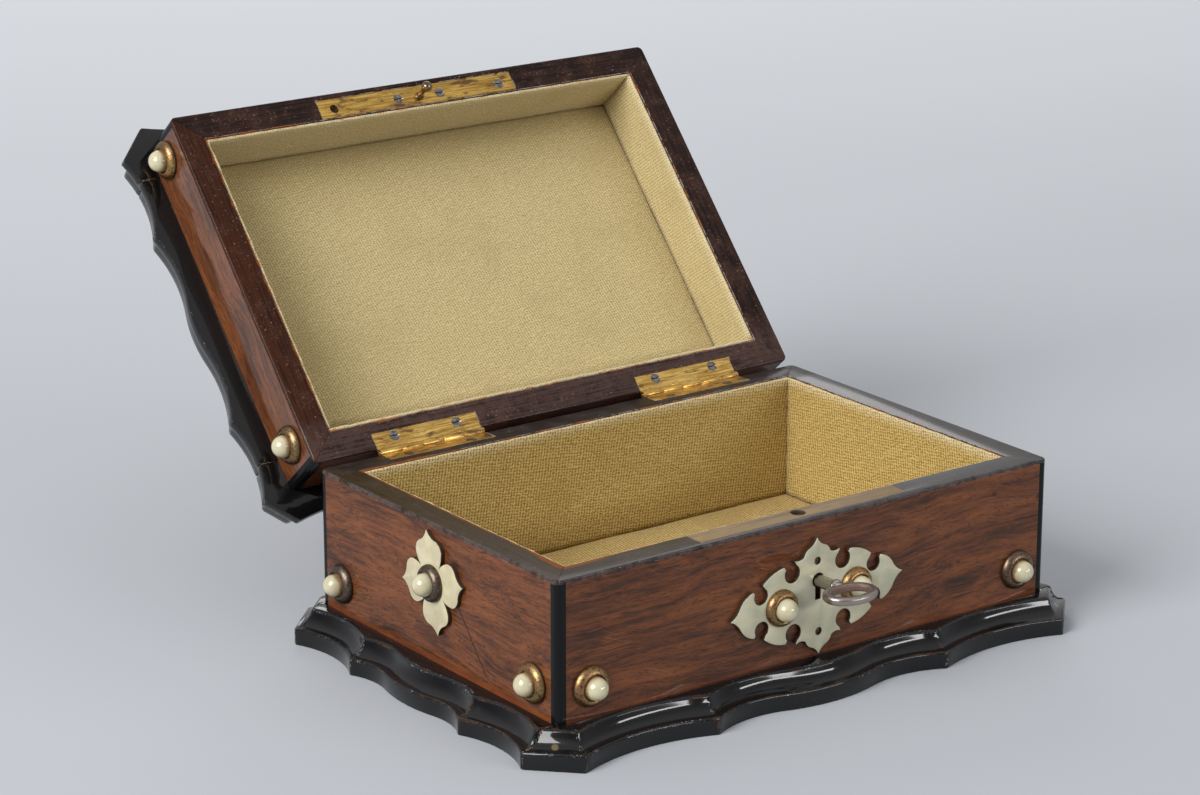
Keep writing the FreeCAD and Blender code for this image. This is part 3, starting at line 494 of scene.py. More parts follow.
@dataclass(frozen=True)
class Rosewood(Finish):
    """Varnished rosewood: smoky bands, fine fibre, dark pores, a few knots and scratches.

    A knot is its x, its z and its radius. The crack is the y and z of its two ends.
    """

    name: str
    half: Half
    grain: Grain
    seed: float = 0.0
    gloss: float = 0.36
    knots: tuple[tuple[float, float, float], ...] = ()
    crack: tuple[float, ...] = ()
    fringe_foot: float = 14.2
    fringe_top: float = 17.0
    dark: Colour = (0.032, 0.012, 0.007)
    deep: Colour = (0.078, 0.025, 0.009)
    middle: Colour = (0.132, 0.041, 0.013)
    light: Colour = (0.205, 0.066, 0.020)
    fringe: Colour = (0.230, 0.050, 0.014)
    split: Colour = (0.018, 0.007, 0.004)
    scratched: Colour = (0.42, 0.27, 0.19)

    def dress(self, bench: Bench) -> bpy.types.Material:
        """Builds the veneer.

        Args:
            bench: the material's bench, still empty.

        Returns:
            The material.
        """
        at = bench.spot(self.half)
        bent = self.bent(bench, at)
        smoke = bench.cloud(bent, self.along(62, 10), 3.0, 0.6, self.seed + 3.1)
        streak = bench.cloud(bent, self.along(28, 1.7), 4.0, 0.6, self.seed + 7.7)
        fibre = bench.cloud(bent, self.along(8, 0.34), 2.0, 0.6, self.seed + 1.3)
        pore = bench.cloud(bent, self.along(4.6, 0.36), 1.0, 0.5, self.seed + 5.9).rise(0.58, 0.68)
        line = bench.cloud(bent, self.along(34, 1.0), 2.0, 0.5, self.seed + 9.4).rise(0.60, 0.68)
        wood = bench.ramp(streak * 0.42 + smoke * 0.40 + fibre * 0.18, [
            (0.37, self.dark), (0.44, self.deep), (0.51, self.middle), (0.62, self.light)])
        line = line * smoke.rise(0.64, 0.46) * 0.85
        wood = bench.mix((pore * 0.72).most(line), wood, self.dark)
        wood = self.knotted(bench, at, wood, streak)
        if self.half is Half.BODY:
            fringe = (at.z + (streak - 0.5) * 3).rise(self.fringe_top, self.fringe_foot)
            wood = bench.mix(fringe * 0.30, wood, self.fringe)
        if self.crack:
            wood = self.cracked(bench, at, wood, streak)
        dull = bench.cloud(at, 24, 3.0, 0.6, 4.0).rise(0.45, 0.70)
        wood = bench.mix(self.scratches(bench, at) * dull * 0.4, wood, self.scratched)
        swell = bench.cloud(at, 10, 1.0, seed=2.0)
        return bench.surface(Base_Color=wood, Roughness=0.38 + pore * 0.15 + dull * 0.1,
                             Specular_IOR_Level=0.12, Coat_Weight=self.gloss, Coat_Roughness=0.05,
                             Normal=bench.relief(swell * 0.92 + fibre * 0.08, 0.055))

    def along(self, length: float, width: float) -> Point:
        """The size of a lump that lies with the grain."""
        return (length, width, width) if self.grain is Grain.LENGTHWAYS else (width, length, width)

    def bent(self, bench: Bench, at: Spot) -> Spot:
        """Lets the grain wander.

        Args:
            bench: the material's bench.
            at: a point.

        Returns:
            The point, moved across the grain.
        """
        wander = (bench.cloud(at, self.along(60, 26), 2.0, seed=self.seed) - 0.5) * 15
        if self.grain is Grain.LENGTHWAYS:
            return Spot(at.x, at.y + wander, at.z + wander)
        return Spot(at.x + wander, at.y, at.z + wander)

    def knotted(self, bench: Bench, at: Spot, wood: Wire, streak: Wire) -> Wire:
        """Adds the knots.

        Args:
            bench: the material's bench.
            at: a point.
            wood: the colour so far.
            streak: the grain, which frays them.

        Returns:
            The colour with the knots.
        """
        for knot_x, knot_z, radius in self.knots:
            x, z = (at.x - knot_x) * 0.7, at.z - knot_z
            spot = (x * x + z * z + (streak - 0.5) * radius).rise(radius * radius, 0.0)
            wood = bench.mix(spot * 0.85, wood, self.dark)
        return wood

    def cracked(self, bench: Bench, at: Spot, wood: Wire, streak: Wire) -> Wire:
        """Adds the crack to the left side.

        Args:
            bench: the material's bench.
            at: a point.
            wood: the colour so far.
            streak: the grain, which bends it.

        Returns:
            The colour with the crack.
        """
        y_start, z_start, y_end, z_end = self.crack
        run_y, run_z = Vector((y_end - y_start, z_end - z_start)).normalized()
        aside = abs((at.y - y_start) * run_z - (at.z - z_start) * run_y + (streak - 0.5) * 0.7)
        middle, reach = (z_start + z_end) / 2, abs(z_start - z_end) / 2
        shown = abs(at.z - middle).rise(reach + 1.5, reach - 1.5) * at.x.rise(-100.0, -110.0)
        return bench.mix(aside.rise(0.60, 0.18) * shown, wood, self.split)

    def scratches(self, bench: Bench, at: Spot) -> Wire:
        """A mask of slanting scratches."""
        slant = Spot(at.x + at.z, at.y - at.z, at.z + at.x * 0.4 + at.y * 0.23)
        return bench.cloud(slant, (15, 19, 0.16), 0.0, 0.5, self.seed).rise(0.76, 0.82)


@dataclass(frozen=True)
class RimWood(Finish):
    """The dark lipping of body or lid: stained grain, mitre lines, pale arrises and specks partly rubbed and chipped
    and partly painted glints, and old glue.

    The glue band is how far glue reaches over the rim at the left, and depth is its relief's.
    """

    name: str
    half: Half
    dark: Colour
    light: Colour
    bloom: Colour
    left: Colour
    lip: Colour
    rough: float
    gloss: float
    glue_band: float
    depth: float
    worn_and_glint: Colour = (0.40, 0.34, 0.31)
    by_hinge: Colour = (0.062, 0.030, 0.023)
    glue: Colour = (0.22, 0.066, 0.016)
    joint: Colour = (0.010, 0.007, 0.005)

    def dress(self, bench: Bench) -> bpy.types.Material:
        """Builds the lipping.

        Args:
            bench: the material's bench, still empty.

        Returns:
            The material.
        """
        at = bench.spot(self.half)
        depth_x, depth_y = SIZES.half_x - abs(at.x), SIZES.half_y - abs(at.y)
        on_side = (depth_y - depth_x).rise(-0.02, 0.02)
        left = on_side * at.x.rise(-60.0, -80.0)
        grain_x = bench.cloud(at, (24, 0.6, 3), 3.0, 0.6)
        grain_y = bench.cloud(at, (0.6, 24, 3), 3.0, 0.6)
        streak = grain_x + (grain_y - grain_x) * on_side
        patch = bench.cloud(at, 8, 3.0, 0.6, 4.0)
        speck = bench.cloud(at, 1.0, 3.0, 0.7, 8.0)
        scuff = bench.cloud(at, 4, 4.0, 0.7, 1.0)
        wood = bench.mix((streak * 0.6 + patch * 0.4).rise(0.38, 0.61), self.dark, self.light)
        wood = bench.mix(left * streak.rise(0.30, 0.55) * 0.8, wood, self.left)
        if self.half is Half.LID:
            by_hinge = at.y.rise(60.0, 70.0) * (streak * 0.5 + scuff * 0.5).rise(0.38, 0.56)
            wood = bench.mix(by_hinge * 0.8, wood, self.by_hinge)
        wood = bench.mix(patch.rise(0.48, 0.64) * speck.rise(0.42, 0.70) * 0.6, wood, self.bloom)
        wood = self.rubbed(bench, at, wood, scuff, speck)
        glue = self.glued(at, patch)
        wood = bench.mix(glue * 0.8, wood, self.glue)
        mitre = abs(depth_x - depth_y).rise(0.26, 0.10)
        wood = bench.mix(mitre * 0.75, wood, self.joint)
        # pale specks: partly chips, partly painted glints
        wood = bench.mix(speck.rise(0.66, 0.71) * 0.55, wood, self.worn_and_glint)
        height = streak * 0.4 + scuff * 0.5 - mitre - scuff.rise(0.60, 0.70) * 0.4
        return bench.surface(Base_Color=wood, Roughness=self.rough + patch * 0.18 + glue * 0.3,
                             Specular_IOR_Level=0.1, Coat_Roughness=0.13,
                             Coat_Weight=self.varnish(at, left) * self.gloss,
                             Normal=bench.relief(height, self.depth))

    def rubbed(self, bench: Bench, at: Spot, wood: Wire, scuff: Wire, speck: Wire) -> Wire:
        """Pales the outer edge band and the arrises, partly rubbing and partly painted highlight, and chips the inner
        edge.

        Args:
            bench: the material's bench.
            at: a point.
            wood: the colour so far.
            scuff: noise that says where it is rubbed.
            speck: finer noise that says where it is chipped.

        Returns:
            The colour with the rubbing, chips and painted highlight.
        """
        # outer edge band: partly rubbed, partly a painted highlight where the edge catches light
        lip = at.edge().rise(1.1, 0.4) * scuff.rise(0.34, 0.56)
        wood = bench.mix(lip * 0.45, wood, self.lip)
        # arris band: partly rubbed, partly a painted highlight on the eased arris
        arris_rub_and_sheen = bench.mark("arris") * scuff.rise(0.44, 0.58)
        wood = bench.mix(arris_rub_and_sheen * 0.7, wood, self.worn_and_glint)
        chip = (at.inside() + (scuff - 0.5) * 3.2).rise(0.45, 0.0) * speck.rise(0.54, 0.62)
        return bench.mix(chip * 0.35, wood, self.worn_and_glint)

    def glued(self, at: Spot, patch: Wire) -> Wire:
        """Where glue has run over the inner edge, most at the left and in the body's near corner.

        Args:
            at: a point.
            patch: noise that makes it ragged.

        Returns:
            A mask from 0 to 1.
        """
        band = at.x.rise(-40.0, -95.0) * self.glue_band - 0.12
        if self.half is Half.BODY:
            x, y = at.x + SIZES.inner_x, at.y + SIZES.inner_y
            band = band + (x * x + y * y).rise(500.0, 30.0) * 1.5
        return (at.inside() + (patch - 0.5) * 3.6 - band).rise(0.30, -0.30)

    def varnish(self, at: Spot, left: Wire) -> Wire:
        """How much varnish there is: less at the left, and by the hinges less or, on the lid, more.

        Args:
            at: a point.
            left: a mask of the left side.

        Returns:
            Its share.
        """
        by_hinge = at.y.rise(60.0, 66.0)
        if self.half is Half.BODY:
            return (1 - left.most(by_hinge) * 0.65) * (at.x.rise(10.0, 70.0) * 0.72 + 0.28)
        return 1 - left * 0.65 + by_hinge * 1.6


@dataclass(frozen=True)
class Ebonised(Finish):
    """Black lacquer over fruitwood: lumpy gloss, arrises rubbed brown, pale arris lines partly rubbing and partly
    painted highlight, glue at joints.

    The foot is the height where the moulding starts, and the joint how far from the middle the
    front and side lengths meet. A nail lies out from the case's corner and up from the foot.
    """

    name: str
    half: Half
    foot: float
    joint: float = 78.0
    gloss: float = 0.75
    nail_out: float = 4.2
    nail_up: float = 8.4
    black: Colour = (0.0045, 0.0045, 0.0050)
    brown: Colour = (0.075, 0.030, 0.010)
    # pale: partly rubbed lacquer, partly a painted highlight on the arrises
    pale: Colour = (0.20, 0.19, 0.18)
    filler: Colour = (0.15, 0.105, 0.040)
    glue: Colour = (0.36, 0.32, 0.25)

    def dress(self, bench: Bench) -> bpy.types.Material:
        """Builds the lacquer.

        Args:
            bench: the material's bench, still empty.

        Returns:
            The material.
        """
        at = bench.spot(self.half)
        lump = bench.cloud(at, 5.0, 2.0, 0.5, 1.0)
        fine = bench.cloud(at, 0.8, 3.0, 0.6, 2.0)
        patch = bench.cloud(at, 11, 2.0, 0.6, 3.0)
        arris = bench.mark("arris")
        rub = arris * patch.rise(0.52, 0.62) * fine.rise(0.44, 0.58)
        colour = bench.mix(rub * 0.8, self.black, self.brown)
        # pale arris lines: partly rubbed lacquer, partly a painted highlight along the arrises
        bright = arris * patch.rise(0.50, 0.38) * fine.rise(0.56, 0.62)
        colour = bench.mix(bright * 0.8, colour, self.pale)
        fleck = fine.rise(0.71, 0.77) * patch.rise(0.45, 0.60)
        colour = bench.mix(fleck * 0.4, colour, self.filler)
        colour = bench.mix(self.nail_heads(at, fine) * 0.75, colour, self.filler)
        seam = abs(abs(at.y) - self.joint).rise(0.34, 0.20) * at.out().rise(2.0, 3.0)
        seam = seam * fine.rise(0.44, 0.58)
        colour = bench.mix(seam * 0.7, colour, self.glue)
        return bench.surface(Base_Color=colour,
                             Roughness=0.22 + patch * 0.12 + rub * 0.3 + seam * 0.4,
                             Specular_IOR_Level=0.07, Coat_Roughness=0.07,
                             Coat_Weight=self.gloss - seam * (self.gloss * 0.7),
                             Normal=bench.relief(lump * 0.85 + fine * 0.15, 0.13))

    def nail_heads(self, at: Spot, fine: Wire) -> Wire:
        """The filled nail holes in the canted corners.

        Args:
            at: a point.
            fine: noise that makes them ragged.

        Returns:
            A mask from 0 to 1.
        """
        x = abs(at.x) - (SIZES.half_x + self.nail_out)
        y = abs(at.y) - (SIZES.half_y + self.nail_out)
        z = at.z - self.foot - self.nail_up
        return (x * x + y * y + z * z + (fine - 0.5) * 2.5).rise(2.6, 1.0)


@dataclass(frozen=True)
class Bone(Finish):
    """Polished bone plate: cream with faint grey clouds, hairs of pores, and cut edges darkened to near black, partly
    dirt and partly painted shade.

    Its one hairline crack slants past the origin at crack_away and is centred crack_up high.
    """

    name: str
    cream: Colour = (0.530, 0.505, 0.350)
    grey: Colour = (0.440, 0.425, 0.305)
    edge_dirt_and_shade: Colour = (0.030, 0.016, 0.008)
    pore: Colour = (0.42, 0.36, 0.24)
    crack: Colour = (0.30, 0.27, 0.20)
    crack_away: float = 15.6
    crack_up: float = 51.0

    def dress(self, bench: Bench) -> bpy.types.Material:
        """Builds the bone.

        Args:
            bench: the material's bench, still empty.

        Returns:
            The material.
        """
        at = bench.spot(Half.BODY)
        cloud = bench.cloud(at, (14, 9, 9), 3.0, 0.55, 1.0)
        pores = bench.cloud(at, (5.0, 1.2, 0.35), 2.0, 0.5, 2.0)
        colour = bench.mix(cloud.rise(0.36, 0.62), self.grey, self.cream)
        colour = bench.mix(pores.rise(0.58, 0.72) * 0.30, colour, self.pore)
        fine = bench.cloud(at, 1.0, 2.0, 0.6, 3.0)
        # dirt and painted shade: the cut edges and the bevel's highlight go near black
        edge = (at.out() + (fine - 0.5) * 0.5).rise(1.90, 1.66)
        colour = bench.mix(edge, colour, self.edge_dirt_and_shade)
        away = at.x * 0.87 + at.z * 0.5 - self.crack_away
        crack = abs(away + (fine - 0.5) * 0.35).rise(0.16, 0.05)
        crack = crack * abs(at.z - self.crack_up).rise(5.2, 4.2) * at.x.rise(-5.0, -5.6)
        colour = bench.mix(crack * 0.6, colour, self.crack)
        return bench.surface(Base_Color=colour, Roughness=0.30 + edge * 0.3, Coat_Weight=0.35,
                             Coat_Roughness=0.12, Subsurface_Weight=0.12, Subsurface_Scale=0.0015,
                             Normal=bench.relief(cloud * 0.8 + pores * 0.2 - crack, 0.06))


@dataclass(frozen=True)
class BeadBone(Finish):
    """Turned bone bead: high gloss, browning toward its foot."""

    name: str
    half: Half
    cream: Colour = (0.53, 0.49, 0.325)
    warm: Colour = (0.44, 0.36, 0.19)
    foot: Colour = (0.20, 0.095, 0.022)

    def dress(self, bench: Bench) -> bpy.types.Material:
        """Builds the bead.

        Args:
            bench: the material's bench, still empty.

        Returns:
            The material.
        """
        at = bench.spot(self.half)
        vein = bench.cloud(at, 5.0, 2.0, 0.5, 1.0)
        colour = bench.mix(vein.rise(0.42, 0.80) * 0.55, self.cream, self.warm)
        foot = (at.out() + (vein - 0.5) * 3.4).rise(5.4, 3.4)
        colour = bench.mix(foot * 0.85, colour, self.foot)
        return bench.surface(Base_Color=colour, Roughness=0.20, Coat_Weight=0.6,
                             Coat_Roughness=0.05, Subsurface_Weight=0.18, Subsurface_Scale=0.002)


@dataclass(frozen=True)
class Brass(Finish):
    """Old brass: streaked along its length, with brown stains, pits and dark hollows.

    Stained says how far gone it is, from 0 to 1, and streak how long and wide a streak is.
    """

    name: str
    half: Half
    bright: Colour
    dull: Colour
    stain: Colour
    stained: float
    streak: Point = (14.0, 0.5, 0.5)

    def dress(self, bench: Bench) -> bpy.types.Material:
        """Builds the brass.

        Args:
            bench: the material's bench, still empty.

        Returns:
            The material.
        """
        at = bench.spot(self.half)
        brushed = bench.cloud(at, self.streak, 3.0, 0.6, 1.0)
        patch = bench.cloud(at, (9.0, 3.2, 3.2), 3.0, 0.6, 2.0)
        tint = bench.cloud(at, (16.0, 6.0, 6.0), 1.0, 0.5, 5.0)
        colour = bench.mix(brushed.rise(0.36, 0.62), self.dull, self.bright)
        colour = bench.mix(tint.rise(0.48, 0.64) * 0.55 * self.stained, colour, self.dull)
        stain = patch.rise(0.62 - 0.16 * self.stained, 0.76 - 0.12 * self.stained)
        pits = bench.cloud(at, 0.9, 2.0, 0.6, 3.0).rise(0.60, 0.70)
        mark = stain.most(pits * 0.6 * self.stained)
        colour = bench.mix(mark * 0.9, colour, self.stain)
        colour = bench.mix(bench.mark("arris") * 0.35, colour, self.bright)
        return bench.surface(Base_Color=colour, Metallic=1 - mark * 0.45,
                             Roughness=0.25 + brushed * 0.14 + mark * 0.25,
                             Normal=bench.relief(brushed * 0.6 - pits * 0.4, 0.055))


@dataclass(frozen=True)
class StudBrass(Finish):
    """The studs' collars: coppery flare, blackened foot and bore, some gone brown all over."""

    name: str
    half: Half
    copper: Colour = (0.42, 0.225, 0.095)
    gold: Colour = (0.38, 0.255, 0.095)
    black: Colour = (0.040, 0.024, 0.015)
    tarnished: Colour = (0.13, 0.105, 0.085)

    def dress(self, bench: Bench) -> bpy.types.Material:
        """Builds the collars' brass.

        Args:
            bench: the material's bench, still empty.

        Returns:
            The material.
        """
        at = bench.spot(self.half)
        patch = bench.cloud(at, 4, 3.0, 0.6, 1.0)
        fine = bench.cloud(at, 0.8, 3.0, 0.6, 2.0)
        colour = bench.mix(patch.rise(0.38, 0.62), self.copper, self.gold)
        colour = bench.mix(self.gone(bench, at).least(1.0), colour, self.tarnished)
        foot = (at.out() + (fine - 0.5) * 1.2).rise(1.3, 0.5)
        colour = bench.mix(foot, colour, self.black)
        colour = bench.mix(fine.rise(0.48, 0.66) * 0.8, colour, self.black)
        rim = bench.mark("arris") * fine.rise(0.60, 0.48)
        colour = bench.mix(rim * 0.4, colour, self.gold)
        return bench.surface(Base_Color=colour, Metallic=1 - foot * 0.3,
                             Roughness=0.32 + patch * 0.16 + foot * 0.3,
                             Normal=bench.relief(fine * 0.5 + patch * 0.5, 0.04))

    def gone(self, bench: Bench, at: Spot) -> Wire:
        """Which collars are tarnished: on the body the rear side ones and the front right one.

        Args:
            bench: the material's bench.
            at: a point.

        Returns:
            A mask, which can pass 1.
        """
        chance = bench.cloud(at, (46, 52, 30), 0.0, 0.5, 6.3).rise(0.50, 0.56)
        if self.half is Half.LID:
            return chance * 0.4
        side = (abs(at.x) - (SIZES.half_x - 1)).rise(0.0, 0.5) * at.y.rise(-30.0, -20.0)
        right = at.x.rise(80.0, 90.0) * at.y.rise(-79.0, -80.0)
        return chance * 0.25 + side * 0.95 + right * 0.80


@dataclass(frozen=True)
class Steel(Finish):
    """Dull steel of screws, pins and the lock's works, with rust in its hollows.

    The face is the height of the screws' heads, below which their slots are darkened, partly dirt and partly painted
    shade.
    """

    name: str
    half: Half
    bright: Colour = (0.36, 0.34, 0.31)
    dull: Colour = (0.15, 0.14, 0.13)
    rust: Colour = (0.14, 0.055, 0.022)
    rusted: float = 0.35
    face: float | None = None
    # dirt: also stands for painted shade in the slots
    dirt: Colour = (0.018, 0.012, 0.008)

    def dress(self, bench: Bench) -> bpy.types.Material:
        """Builds the steel.

        Args:
            bench: the material's bench, still empty.

        Returns:
            The material.
        """
        at = bench.spot(self.half)
        patch = bench.cloud(at, 1.6, 3.0, 0.6, 1.0)
        fine = bench.cloud(at, 0.45, 2.0, 0.6, 2.0)
        colour = bench.mix(patch.rise(0.40, 0.62), self.dull, self.bright)
        rust = (patch * 0.5 + fine * 0.5).rise(0.66 - 0.2 * self.rusted, 0.74 - 0.2 * self.rusted)
        colour = bench.mix(rust, colour, self.rust)
        if self.face is not None:
            # dirt and painted shade: the screw slots below the head's face go dark
            slot = abs(at.z - self.face).rise(0.10, 0.25)
            colour = bench.mix(slot * 0.9, colour, self.dirt)
        return bench.surface(Base_Color=colour, Metallic=1 - rust * 0.7,
                             Roughness=0.28 + rust * 0.35, Normal=bench.relief(fine, 0.03))


@dataclass(frozen=True)
class KeyNickel(Finish):
    """The key's rubbed plating: pinkish grey bow, brighter shank, rust inside the bow."""

    name: str
    bright: Colour = (0.43, 0.395, 0.345)
    pink: Colour = (0.37, 0.31, 0.285)
    rust: Colour = (0.14, 0.070, 0.045)
    dirt: Colour = (0.07, 0.05, 0.04)
    bow_front: float = -92.5
    bow_x: float = 1.0
    bow_y: float = -100.8
    bow_half_x: float = 8.4
    bow_half_y: float = 5.3

    def dress(self, bench: Bench) -> bpy.types.Material:
        """Builds the plating.

        Args:
            bench: the material's bench, still empty.

        Returns:
            The material.
        """
        at = bench.spot(Half.BODY)
        bow = at.y.rise(self.bow_front, self.bow_front - 2.0)
        patch = bench.cloud(at, 2.2, 3.0, 0.65, 1.0)
        fine = bench.cloud(at, 0.6, 3.0, 0.6, 2.0)
        colour = bench.mix(bow * 0.8 + (patch - 0.5), self.bright, self.pink)
        u = (at.x - self.bow_x) * (1 / self.bow_half_x)
        v = (at.y - self.bow_y) * (1 / self.bow_half_y)
        hollow = (u * u + v * v).rise(1.35, 1.0) * bow
        rust = (hollow * 0.5 + patch * 0.6).rise(0.52, 0.76)
        colour = bench.mix(rust * 0.85, colour, self.rust)
        colour = bench.mix(fine.rise(0.60, 0.74) * 0.5, colour, self.dirt)
        return bench.surface(Base_Color=colour, Metallic=1 - rust * 0.5,
                             Roughness=0.22 + bow * 0.12 + rust * 0.25,
                             Normal=bench.relief(fine * 0.5 + patch * 0.5, 0.06))


@dataclass(frozen=True)
class LockStripWood(Finish):
    """The pale strip over the lock: tan wood, a pinkish line, glue along the front, and painted shade darkening round
    the pin's hole.
    """

    name: str
    tan: Colour = (0.225, 0.148, 0.050)
    brown: Colour = (0.150, 0.092, 0.032)
    pink: Colour = (0.160, 0.080, 0.046)
    glue: Colour = (0.29, 0.15, 0.040)
    # hole: the painted shade round the pin's hole
    hole: Colour = (0.05, 0.028, 0.015)
    speck: Colour = (0.10, 0.06, 0.03)
    hole_x: float = -1.6
    hole_y: float = -72.3
    line_y: float = -70.9
    glue_y: float = -77.0

    def dress(self, bench: Bench) -> bpy.types.Material:
        """Builds the strip.

        Args:
            bench: the material's bench, still empty.

        Returns:
            The material.
        """
        at = bench.spot(Half.BODY)
        streak = bench.cloud(at, (24, 0.6, 2), 3.0, 0.6, 1.0)
        patch = bench.cloud(at, (9, 3, 3), 3.0, 0.6, 2.0)
        wood = bench.mix((streak * 0.6 + patch * 0.4).rise(0.38, 0.62), self.brown, self.tan)
        line = abs(at.y - self.line_y + (patch - 0.5) * 0.8).rise(0.62, 0.40)
        wood = bench.mix(line * 0.75, wood, self.pink)
        glue = (at.y - self.glue_y + (patch - 0.5) * 2.4).rise(0.65, 0.1)
        wood = bench.mix(glue * 0.8, wood, self.glue)
        # painted shade: a dark disc round the pin's hole, where it opens into the lock case
        dirt = (self.from_hole(at) + (patch - 0.5) * 1.6).rise(3.5, 3.0)
        wood = bench.mix(dirt, wood, self.hole)
        speck = bench.cloud(at, 0.6, 2.0, 0.6, 3.0).rise(0.68, 0.76)
        wood = bench.mix(speck * 0.5, wood, self.speck)
        return bench.surface(Base_Color=wood, Roughness=0.55, Normal=bench.relief(streak, 0.05))

    def from_hole(self, at: Spot) -> Wire:
        """How far a point lies from the middle of the pin's hole."""
        x, y = at.x - self.hole_x, at.y - self.hole_y
        return (x * x + y * y).sum("SQRT")


@dataclass(frozen=True)
class CarcassWood(Finish):
    """The plain wood inside and under the case."""

    name: str
    half: Half
    pale: Colour = (0.40, 0.255, 0.13)
    brown: Colour = (0.235, 0.135, 0.065)
    dirt: Colour = (0.10, 0.06, 0.035)

    def dress(self, bench: Bench) -> bpy.types.Material:
        """Builds the wood.

        Args:
            bench: the material's bench, still empty.

        Returns:
            The material.
        """
        at = bench.spot(self.half)
        ring = bench.cloud(at, (60, 3.4, 3.4), 3.0, 0.6, 1.0)
        fibre = bench.cloud(at, (9, 0.4, 0.4), 2.0, 0.6, 2.0)
        dirt = bench.cloud(at, 18, 3.0, 0.6, 3.0)
        wood = bench.mix((ring * 0.7 + fibre * 0.3).rise(0.40, 0.60), self.brown, self.pale)
        wood = bench.mix(dirt.rise(0.50, 0.75) * 0.5, wood, self.dirt)
        return bench.surface(Base_Color=wood, Roughness=0.6 + fibre * 0.15,
                             Normal=bench.relief(fibre, 0.08))


@dataclass(frozen=True)
class LiningCloth(Finish):
    """Crepe-woven cotton: small slanting bumps, dirty in places, stained by glue at its edge, darkened as painted
    shade by its walls.

    Its map holds metres along the panel and metres of cloth up it.
    """

    name: str
    pale: Colour
    deep: Colour
    fuzz: Colour = (0.62, 0.53, 0.33)
    glue: Colour = (0.40, 0.155, 0.040)
    thread: float = 1.02
    bold: float = 0.44
    depth: float = 0.34

    def dress(self, bench: Bench) -> bpy.types.Material:
        """Builds the cloth.

        Args:
            bench: the material's bench, still empty.

        Returns:
            The material.
        """
        flat = bench.parts(bench.node("UVMap", {"uv_map": "Cloth"}))
        here = Spot(*(wire * (1 / MM) for wire in flat))
        sway = bench.cloud(here, 5, 2.0, 0.6, 1.0)
        jog = bench.cloud(here, 1.7, 2.0, 0.6, 2.0)
        turn = math.pi / self.thread
        weft = (here.x * 0.80 + here.y * 0.66 + (jog - 0.5) * 2.6 + (sway - 0.5) * 1.6) * turn
        warp = (here.y * 0.88 - here.x * 0.62 + (jog - 0.5) * 2.0) * turn
        knot = weft.sine() * warp.sine() * 0.5 + 0.5
        hair = bench.cloud(here, 0.65, 2.0, 0.65, 3.0)
        weave = knot * self.bold + hair * (1 - self.bold)
        soil = bench.cloud(here, 38, 3.0, 0.6, 4.0)
        # painted shade: the weave turns deeper where the panel's mark says its walls would shade it
        nook = bench.mark("nook")
        colour = bench.mix((weave - nook * 0.19).rise(0.33, 0.64), self.deep, self.pale)
        colour = bench.mix(soil.rise(0.48, 0.70) * 0.25, colour, self.deep)
        edge = bench.mark("edge")
        nap = edge.rise(0.10, 0.75) * weave.rise(0.25, 0.6)
        colour = bench.mix(nap * 0.75, colour, self.fuzz)
        rag = bench.cloud(here, 7, 4.0, 0.7, 5.0)
        stain = (edge + (rag - 0.5) * 0.9).rise(0.98, 1.10)
        colour = bench.mix(stain * 0.85, colour, self.glue)
        return bench.surface(Base_Color=colour, Roughness=0.92, Sheen_Weight=0.10,
                             Sheen_Roughness=0.6, Specular_IOR_Level=0.1,
                             Normal=bench.relief(weave, self.depth))


@dataclass(frozen=True)
class Glue(Finish):
    """Dark amber glue that the beads are set in."""

    name: str
    amber: Colour = (0.20, 0.075, 0.014)
    black: Colour = (0.022, 0.012, 0.007)

    def dress(self, bench: Bench) -> bpy.types.Material:
        """Builds the glue.

        Args:
            bench: the material's bench, still empty.

        Returns:
            The material.
        """
        at = bench.spot(Half.BODY)
        patch = bench.cloud(at, 2.4, 2.0, 0.6, 1.0)
        return bench.surface(Base_Color=bench.mix(patch.rise(0.40, 0.60), self.black, self.amber),
                             Roughness=0.30 + patch * 0.3, Normal=bench.relief(patch, 0.1))


def select_only(*objects: bpy.types.Object) -> None:
    """Leaves only these objects selected, the first of them active.

    Args:
        objects: the objects, or none to have nothing selected.
    """
    bpy.ops.object.select_all(action="DESELECT")
    for one in objects:
        one.select_set(True)
    if objects:
        bpy.context.view_layer.objects.active = objects[0]


def apply_modifier(piece: bpy.types.Object, kind: str, **settings: object) -> None:
    """Adds a modifier to a piece and applies it.

    Args:
        piece: the piece.
        kind: the modifier's type.
        settings: its properties.
    """
    select_only(piece)
    bpy.ops.object.modifier_add(type=kind)
    added = piece.modifiers[-1]
    for name, value in settings.items():
        setattr(added, name, value)
    bpy.ops.object.modifier_apply(modifier=added.name)


def soften(piece: bpy.types.Object, degrees: float = 32.0) -> None:
    """Shades a piece smooth but for edges sharper than an angle."""
    select_only(piece)
    bpy.ops.object.shade_smooth_by_angle(angle=math.radians(degrees))


def stand(piece: bpy.types.Object, finish: Finish, slot: str, body: str) -> None:
    """Gives a new piece its finish, record slot and body.

    Args:
        piece: the piece.
        finish: its finish.
        slot: its slot in the record.
        body: the body that it moves with.
    """
    piece.data.materials.clear()
    piece.data.materials.append(finish.material())
    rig.ride(piece, body)
    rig.slot(piece, slot)
    LOG.info("%s: %s on %s", piece.name, finish.name, body)


def dress_nodes(finish: Finish, *names: str) -> None:
    """Gives nodes that show as packed their finish.

    Args:
        finish: the finish.
        names: the nodes.
    """
    for name in names:
        node = frame["nodes"][name]
        node.data.materials.clear()
        node.data.materials.append(finish.material())
        LOG.info("%s: %s", name, finish.name)


